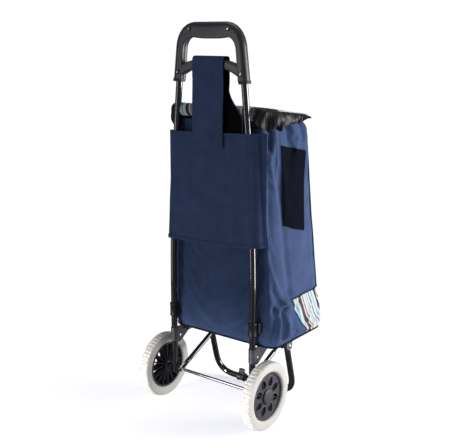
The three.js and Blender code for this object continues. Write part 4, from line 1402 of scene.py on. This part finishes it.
def panel_surface(count=(220, 90)):
    """Y over X and Z: level between the tubes, a round bump over each, a valley and a ridge outside it."""
    s, t = np.meshgrid(np.linspace(-1, 1, count[0]), np.linspace(0, 1, count[1]))
    bottom = 443.0 - 7.0 * s - 6.0 * (1 - s * s)
    top = 709.0 - 5.0 * s
    z = bottom + (top - bottom) * t
    x = np.where(s > 0, s * 136.0, s * 153.0)
    tube = tube_x(z)
    beyond = np.abs(x) - tube
    over = 1.3 * bell(beyond, 8.5)
    fall = -19.0 * smooth(beyond, 5.0, np.where(x > 0, 20.0, 34.0))
    last_fold = (np.where(x > 0, 0.2, 1.0) * 3.4 * bell(beyond - 21.0 - 4.0 * t, 5.0)
                 - 1.6 * bell(beyond - 12.5, 4.0))
    slack = -1.6 * bell(beyond + 26.0, 16.0)
    drift = 0.7 * ripple(x * 1.4 + 300.0, z, 11) * np.clip(-beyond / 40.0, 0, 1)
    y = 10.4 + over + fall + last_fold + slack + drift
    return np.stack([x, y, z], axis=-1), np.stack([x, z], axis=-1)


panel_points, panel_uv = panel_surface()
panel = add_piece("back_band", grid_mesh("back_band", panel_points, uv=panel_uv, flip=True), navy_canvas,
                  "frame", ("back_panel",), 80.0)
cloth_wall(panel, 1.4)
print("back band spans", np.round(np.ptp(panel_points.reshape(-1, 3), axis=0)))


# %% Hems
def hem_strip(name, row, up, width, out=(0, 1.0, 0)):
    """A folded hem: a narrow flat bar along an edge's points, half its width inwards from the edge."""
    path = row + np.array([0, 0, up * width / 2]) + np.array(out) * 0.5
    return bar(name, path, (0, 0, 1), soft_box(width / 2, 0.9, 0.6, 4))


hems = [hem_strip("band_hem", panel_points[row, 2:-2:2], up, width)
        for row, up, width in ((-1, -1, 9.0), (0, 1, 8.0))]
add_piece("band_hems", joined("band_hems", hems), navy_canvas, "frame")

# %% [markdown]
# ## The strap
# A wide strap is sewn to the lid's edge in front of the brace, passes over the brace and hangs down behind,
# where it closes on the back band. It is navy outside; its inside is painted near-black as painted shade for
# the shadow under the strap and the roll. Its front leg flares at the bottom where it is sewn across the
# bag's back, and that flare's dark inside is the painted shadow seen beside the back leg. Both faces follow
# one side profile, a few tenths apart.

# %% Strap profile
strap_profile = curve_points([((0, 4.6, 700), 0), ((0, 4.6, 762), 12.0), ((0, -11.2, 812), 18.0),
                              ((0, -11.6, 882.5), 9.0), ((0, 12.2, 882.5), 9.0), ((0, 15.4, 715), 8.0),
                              ((0, 14.0, 674), 0)], 150)
profile_run = run_along(strap_profile)
profile_side = unit(np.cross(np.gradient(strap_profile, axis=0), [1.0, 0, 0]))
print("strap is", round(float(profile_run[-1])), "mm long")


def strap_surface(out_by, count=46):
    """Across the strap X runs edge to edge; along it the side profile is followed, moved out by out_by.

    The front leg's edges flare below 812 mm, more on the right; slow waves keep the hanging end from being
    flat, and its edges curl a little."""
    s = np.linspace(-1, 1, count)[None]
    front_leg = (profile_run < 190)[:, None]
    flare = np.where(front_leg, smooth(-strap_profile[:, 2:], -812, -738), 0.0)
    left, right = 45.0 - 6.0 * flare, -45.0 - 50.0 * flare
    x = (left + right) / 2 + s * (left - right) / 2
    back_leg = (profile_run > 250)[:, None]
    wave = 1.0 * np.sin(s * 2.2 + profile_run[:, None] / 33.0) * smooth(profile_run[:, None], 260, 330)
    curl = np.where(back_leg, 0.8 * np.abs(s) ** 6, 0.0)
    points = strap_profile[:, None] + profile_side[:, None] * (out_by + wave + curl)[..., None]
    points = points * [0, 1, 1] + x[..., None] * [1, 0, 0]
    return points, np.stack([x, np.broadcast_to(profile_run[:, None], x.shape)], axis=-1)


outer_points, strap_uv = strap_surface(-1.3)
inner_points, _ = strap_surface(-0.1)
across = outer_points[80, 24] - outer_points[80, 22]
onward = outer_points[82, 23] - outer_points[80, 23]
turned_in = bool(np.cross(across, onward) @ -profile_side[80] < 0)
strap = add_piece("strap_outside", grid_mesh("strap_outside", outer_points, uv=strap_uv, flip=turned_in),
                  navy_canvas, "frame", ("strap",), 80.0)
cloth_wall(strap, 1.1)
# The inside face is near-black: painted shade for the shadow under the strap and the roll, seen mostly on the
# flare.
inside = add_piece("strap_inside_painted_shade", grid_mesh("strap_inside_painted_shade", inner_points[:, 1:-1], uv=strap_uv[:, 1:-1],
                                             flip=not turned_in), lining_and_painted_shade, "frame", (), 80.0)
cloth_wall(inside, 0.8)


# %% Stitching
def stitch_row(line, away, spacing=4.6, size=(3.1, 0.55, 0.5)):
    """Short thread bumps along a line: one small lens copied to even steps, turned to follow the line."""
    line = np.asarray(line, dtype=float)
    at = np.arange(spacing / 2, run_along(line)[-1], spacing)
    spot = point_at(line, at)
    along = unit(point_at(line, at + 0.5) - point_at(line, at - 0.5))
    away = np.broadcast_to(np.asarray(away, dtype=float), along.shape)
    side = unit(np.cross(away, along))
    up = np.cross(along, side)
    turn = full_turn(6)
    ring = np.stack([np.zeros(6), np.cos(turn) * size[1], np.sin(turn) * size[2]], axis=-1)
    lens = np.concatenate([ring * [1, k, k] + [h * size[0] / 2, 0, 0] for h, k in
                           ((-1, 0.05), (-0.7, 0.8), (0, 1), (0.7, 0.8), (1, 0.05))])
    points = (spot[:, None] + lens[None, :, :1] * along[:, None] + lens[None, :, 1:2] * side[:, None]
              + lens[None, :, 2:] * up[:, None])
    ring_index = np.arange(30).reshape(5, 6)
    wide = np.concatenate([ring_index, ring_index[:, :1]], axis=1)
    quads = np.stack([wide[:-1, :-1], wide[:-1, 1:], wide[1:, 1:], wide[1:, :-1]], axis=-1).reshape(-1, 4)
    starts = 30 * np.arange(len(spot))
    faces = np.concatenate([quads[:, ::-1] + start for start in starts]).tolist()
    for start in starts:
        faces += [(ring_index[0] + start).tolist(), (ring_index[-1, ::-1] + start).tolist()]
    mesh = bpy.data.meshes.new("stitches")
    mesh.from_pydata(place(points.reshape(-1, 3)), [], faces)
    layer = mesh.uv_layers.new(name="UVMap")
    layer.data.foreach_set("uv", np.zeros(len(mesh.loops) * 2))
    return tidy_mesh(mesh, 1e-8)


back_from = int(np.argmax(profile_run > 258))
rows = []
for column in (2, -3):
    rows.append(stitch_row(outer_points[back_from:-2, column] + [0, 0.4, 0], (0, 1, 0)))
for row in (-3, -9):
    rows.append(stitch_row(outer_points[row, 2:-2] + [0, 0.4, 0], (0, 1, 0)))
for row, up in ((-1, -2.5), (-1, -8.0), (0, 2.5), (0, 7.0)):
    rows.append(stitch_row(panel_points[row, 4:-4] + [0, 1.5, up], (0, 1, 0)))
for column in (10, -11):
    rows.append(stitch_row(panel_points[3:-3, column] + [0, 0.5, 0], (0, 1, 0)))
add_piece("navy_stitching", joined("navy_stitching", rows), thread, "frame")
print("stitches:", sum(len(mesh.vertices) for mesh in rows) // 26)

# %% [markdown]
# ## The lid
# The lid is a striped canvas panel, softly domed, edged all round with a skirt of thin black nylon that an
# elastic pulls in under the bag's rim, so it bunches. The skirt's front sticks out as a small peak. At the
# back the striped cloth rolls over itself between the uprights. The skirt is a band carried round the rim:
# its section bulges out and comes back in, and sharp-edged waves, larger towards the elastic, bunch it.

# %% Striped roll
roll_x = np.concatenate([[101.0, 100.6], np.linspace(99.5, -114.5, 160), [-115.6, -116.0]])
roll_size = np.concatenate([[0.3, 0.75], np.ones(160), [0.75, 0.3]])
turn = full_turn(48)[None]
lean = roll_x[:, None]
roll_radius = (15.6 + 0.5 * np.sin(lean / 5.3 + 2 * np.sin(turn)) + 0.9 * np.sin(lean / 13.0 + turn)
               + 1.4 * np.clip(np.cos(turn - 0.9), 0, 1) ** 12) * roll_size[:, None]
roll_mid = np.array([-14.0, 755.0])
roll_points = np.stack([np.broadcast_to(lean, roll_radius.shape), roll_mid[0] + roll_radius * np.cos(turn),
                        roll_mid[1] + roll_radius * np.sin(turn)], axis=-1)
uv_turn, uv_x = np.meshgrid(np.append(turn[0], 2 * np.pi), roll_x)
roll_uv = np.stack([(90.0 - uv_x) * 1.1 + 3.0 * np.sin(uv_turn), uv_turn * 15.0], axis=-1)
roll_mesh = grid_mesh("striped_roll", roll_points, wrap=True, caps=("start", "end"), uv=roll_uv)
add_piece("striped_roll", tidy_mesh(roll_mesh), stripe_canvas, "frame", ("lid_roll",), 80.0)


# %% Lid panel
def lid_level(y):
    """Height of the lid's edge: it falls 23 mm from the back to the front."""
    return 764.0 + (np.asarray(y) + 30.0) * 0.131


def lid_surface(count=(150, 96)):
    """A domed sheet: 9 mm high in the middle, falling by cubes towards all four edges, with soft ripples.

    It narrows by 30 mm on each side towards the back, where it goes in between the uprights."""
    s, t = np.meshgrid(np.linspace(-1, 1, count[0]), np.linspace(-1, 1, count[1]))
    corner = 1 - 0.04 * (np.abs(s) * np.abs(t)) ** 6
    y = -116.0 + t * 90.0 * corner
    x = s * (147.0 - 30.0 * smooth(y, -66.0, -38.0)) * corner
    dome = (1 - np.abs(s) ** 3) * (1 - np.abs(t) ** 3)
    z = lid_level(y) + 2.5 + 9.0 * dome + 1.1 * ripple(x * 1.6, y * 1.6, 21) * dome ** 0.4
    return np.stack([x, y, z], axis=-1), np.stack([120.0 - x, y], axis=-1)


lid_points, lid_uv = lid_surface()
near_ends = np.abs(np.linspace(-1, 1, lid_points.shape[0]))[:, None] > 0.96
near_sides = np.abs(np.linspace(-1, 1, lid_points.shape[1]))[None] > 0.97
lid_points = let_cloth_settle(lid_points, np.where(near_ends | near_sides, 1.0, 0.0), frames=10, growth=0.02,
                              limit=3.0, wrap=False)
lid = add_piece("striped_lid", grid_mesh("striped_lid", lid_points, uv=lid_uv), stripe_canvas, "lid",
                ("lid_panel",), 80.0)
folds_flat(cloth_wall(lid, 1.6))


# %% Skirt
def bunched(s, seed):
    """Uneven pleats along a length: a sine whose pace and size keep changing, its crests made sharper."""
    draw = np.random.default_rng(seed)
    pace = s / 3.4 + 1.6 * np.sin(s / draw.uniform(19, 24)) + 1.1 * np.sin(s / draw.uniform(9, 12) + 1.0)
    size = 0.62 + 0.38 * np.sin(s / draw.uniform(26, 34) + draw.uniform(0, 6))
    wave = np.sin(pace)
    return np.sign(wave) * np.abs(wave) ** 0.75 * size


def skirt_band(name, path, section, ruffle, seed, hang=724.0):
    """A band round the rim, on a path whose X and Y count and whose height is the lid's edge.

    The section lists (out, way down) from the lid's edge, 0, to the elastic, 1, which is as high as the hang
    at the back and 9 mm higher at the front. Pleats grow with the way down, and a slower second wave crosses
    them so the folds wander."""
    path = np.asarray(path, dtype=float) * [1, 1, 0]
    path[:, 2] = lid_level(path[:, 1])
    low = hang + 9.0 * smooth(-path[:, 1], 120.0, 205.0)
    drop = (path[:, 2] - low)[:, None]
    tangent = unit(np.gradient(path, axis=0))
    away = unit(np.cross(tangent, [0.0, 0.0, 1.0]))
    halfway = len(path) // 2
    if (away[halfway] @ (path[halfway] - [0, bag_middle_y, path[0, 2]])) < 0:
        away = -away
    s = run_along(path)[:, None]
    knots = np.linspace(0, 1, len(section))
    fine = np.linspace(0, 1, 26)
    out_up = np.stack([np.interp(fine, knots, column) for column in np.array(section, dtype=float).T], axis=-1)
    for _ in range(3):
        out_up[1:-1] = (out_up[:-2] + 2 * out_up[1:-1] + out_up[2:]) / 4
    strength = np.sin(np.clip(fine * 1.15, 0, 1) * np.pi * 0.62)[None] ** 1.4
    pleat = bunched(s + 7.0 * np.sin(fine[None] * 3.0 + s / 23.0), seed)
    cross = np.sin(s / 8.5 + fine[None] * 9.0) * 0.35
    push = ruffle * strength * (pleat + cross)
    sink = ruffle * 0.55 * strength * bunched(s + 11.0, seed + 1)
    points = (path[:, None] + away[:, None] * (out_up[None, :, :1] + push[..., None])
              + np.array([0, 0, 1.0]) * (-drop * out_up[None, :, 1] + sink)[..., None])
    uv = np.stack(np.broadcast_arrays(s, fine[None] * 40.0), axis=-1)
    return grid_mesh(name, points, uv=uv)


rim_path = curve_points([((-146.0, -52.0, 0), 0), ((-146.0, -200.0, 0), 46.0), ((146.0, -200.0, 0), 46.0),
                         ((146.0, -52.0, 0), 0)], 620)
skirt_section = [(-7, -0.02), (-1, -0.05), (5, 0.1), (9, 0.32), (9, 0.6), (6, 0.82), (2, 1.0)]
corner_section = [(-27, 0.0), (-8, -0.1), (2, -0.02), (8, 0.22), (9, 0.55), (6, 0.8), (0, 1.0)]
mesh = skirt_band("nylon_skirt", rim_path, skirt_section, 4.2, 3)
skirt = add_piece("nylon_skirt", mesh, skirt_nylon, "lid", ("lid_skirt",), 80.0)
folds_flat(cloth_wall(skirt, 0.9))
for side, sign in SIDES.items():
    corner_path = curve_points([((147.0 * sign, -66.0, 0), 0), ((142.0 * sign, -14.0, 0), 40.0),
                                ((108.0 * sign, -17.0, 0), 0)], 220)
    mesh = skirt_band("skirt_corner", corner_path, corner_section, 6.2, 17 + sign, 717.0)
    corner = add_piece(f"skirt_corner_{side}", mesh, skirt_nylon, "frame", (), 80.0)
    folds_flat(cloth_wall(corner, 0.9))

# %% Peak
peak_path = curve_points([((-147.0, -118.0, 0), 0), ((-147.0, -203.0, 0), 40.0), ((147.0, -203.0, 0), 40.0),
                          ((147.0, -118.0, 0), 0)], 200)
way = np.linspace(-1, 1, 200)
reach = 26.0 * smooth(1 - np.abs(way), 0.02, 0.3)
peak_turn = full_turn(32)
thick = np.sin(peak_turn) * np.sqrt(np.clip(0.5 - 0.5 * np.cos(peak_turn), 0, 1))
leaf = np.stack([np.cos(peak_turn) * 0.5 + 0.5, thick], axis=-1)
tangent = unit(np.gradient(peak_path, axis=0))
away = unit(np.cross([0.0, 0.0, 1.0], tangent))
away = away * np.sign(away[100] @ [0, -1, 0])
rise = 741.0 - 5.0 * leaf[None, :, 0] ** 1.4 * smooth(1 - np.abs(way), 0.0, 0.3)[:, None]
rise = rise + leaf[None, :, 1] * 3.2 + 0.8 * np.sin(way * 60.0)[:, None] * leaf[None, :, 0]
peak_points = peak_path[:, None] + away[:, None] * ((leaf[None, :, :1] - 0.35) * reach[:, None, None])
peak_points = peak_points + rise[..., None] * [0, 0, 1]
peak = tidy_mesh(grid_mesh("lid_peak", peak_points, wrap=True, caps=("start", "end")))
folds_flat(add_piece("lid_peak", peak, skirt_nylon, "lid", (), 80.0))

# %% [markdown]
# ## The floor
# The trolley stands on a plain pale floor that isn't part of it.

# %% Floor
floor_radius, floor_below = 1.2, 0.0005
floor_steps = 96
disc_edge = round_section(floor_steps) * floor_radius
floor_mesh = bpy.data.meshes.new("studio_floor")
floor_mesh.from_pydata(np.column_stack([disc_edge, np.full(floor_steps, -floor_below)]).tolist(), [],
                       [list(range(floor_steps))])
floor = bpy.data.objects.new("studio_floor", floor_mesh)
bpy.context.scene.collection.objects.link(floor)
floor_paint, tree, shader = start_material("floor_paper")
spot = coordinates(tree, "Object")
soft = noise(tree, spot, 1.5, 2.0)
paper = blend_colours(tree, soft, screen(242, 242, 250), screen(249, 249, 254))
sight = tree.nodes.new("ShaderNodeLightPath")
tree.links.new(blend_colours(tree, maths(tree, "MULTIPLY", sight.outputs["Is Glossy Ray"], 0.85), paper,
                             screen(20, 20, 22)), shader.inputs["Base Color"])
tree.links.new(maths(tree, "MULTIPLY_ADD", soft, 0.1, 0.6), shader.inputs["Roughness"])
shader.inputs["Emission Color"].default_value = (0.94, 0.93, 1.0, 1.0)
seen = sight.outputs["Is Camera Ray"]
tree.links.new(maths(tree, "MULTIPLY", seen, 0.66), shader.inputs["Emission Strength"])
away = tree.nodes.new("ShaderNodeVectorMath")
away.operation = "LENGTH"
tree.links.new(spot, away.inputs[0])
fade = tree.nodes.new("ShaderNodeMapRange")
fade.interpolation_type = "SMOOTHSTEP"
fade.inputs["From Min"].default_value, fade.inputs["From Max"].default_value = 0.25, 0.75
tree.links.new(away.outputs["Value"], fade.inputs["Value"])
glow = tree.nodes.new("ShaderNodeEmission")
glow.inputs["Strength"].default_value = 1.05
mix_shaders(tree, maths(tree, "MULTIPLY", seen, fade.outputs["Result"]), shader.outputs[0], glow.outputs[0],
            tree.nodes["Material Output"])
floor_mesh.materials.append(floor_paint)
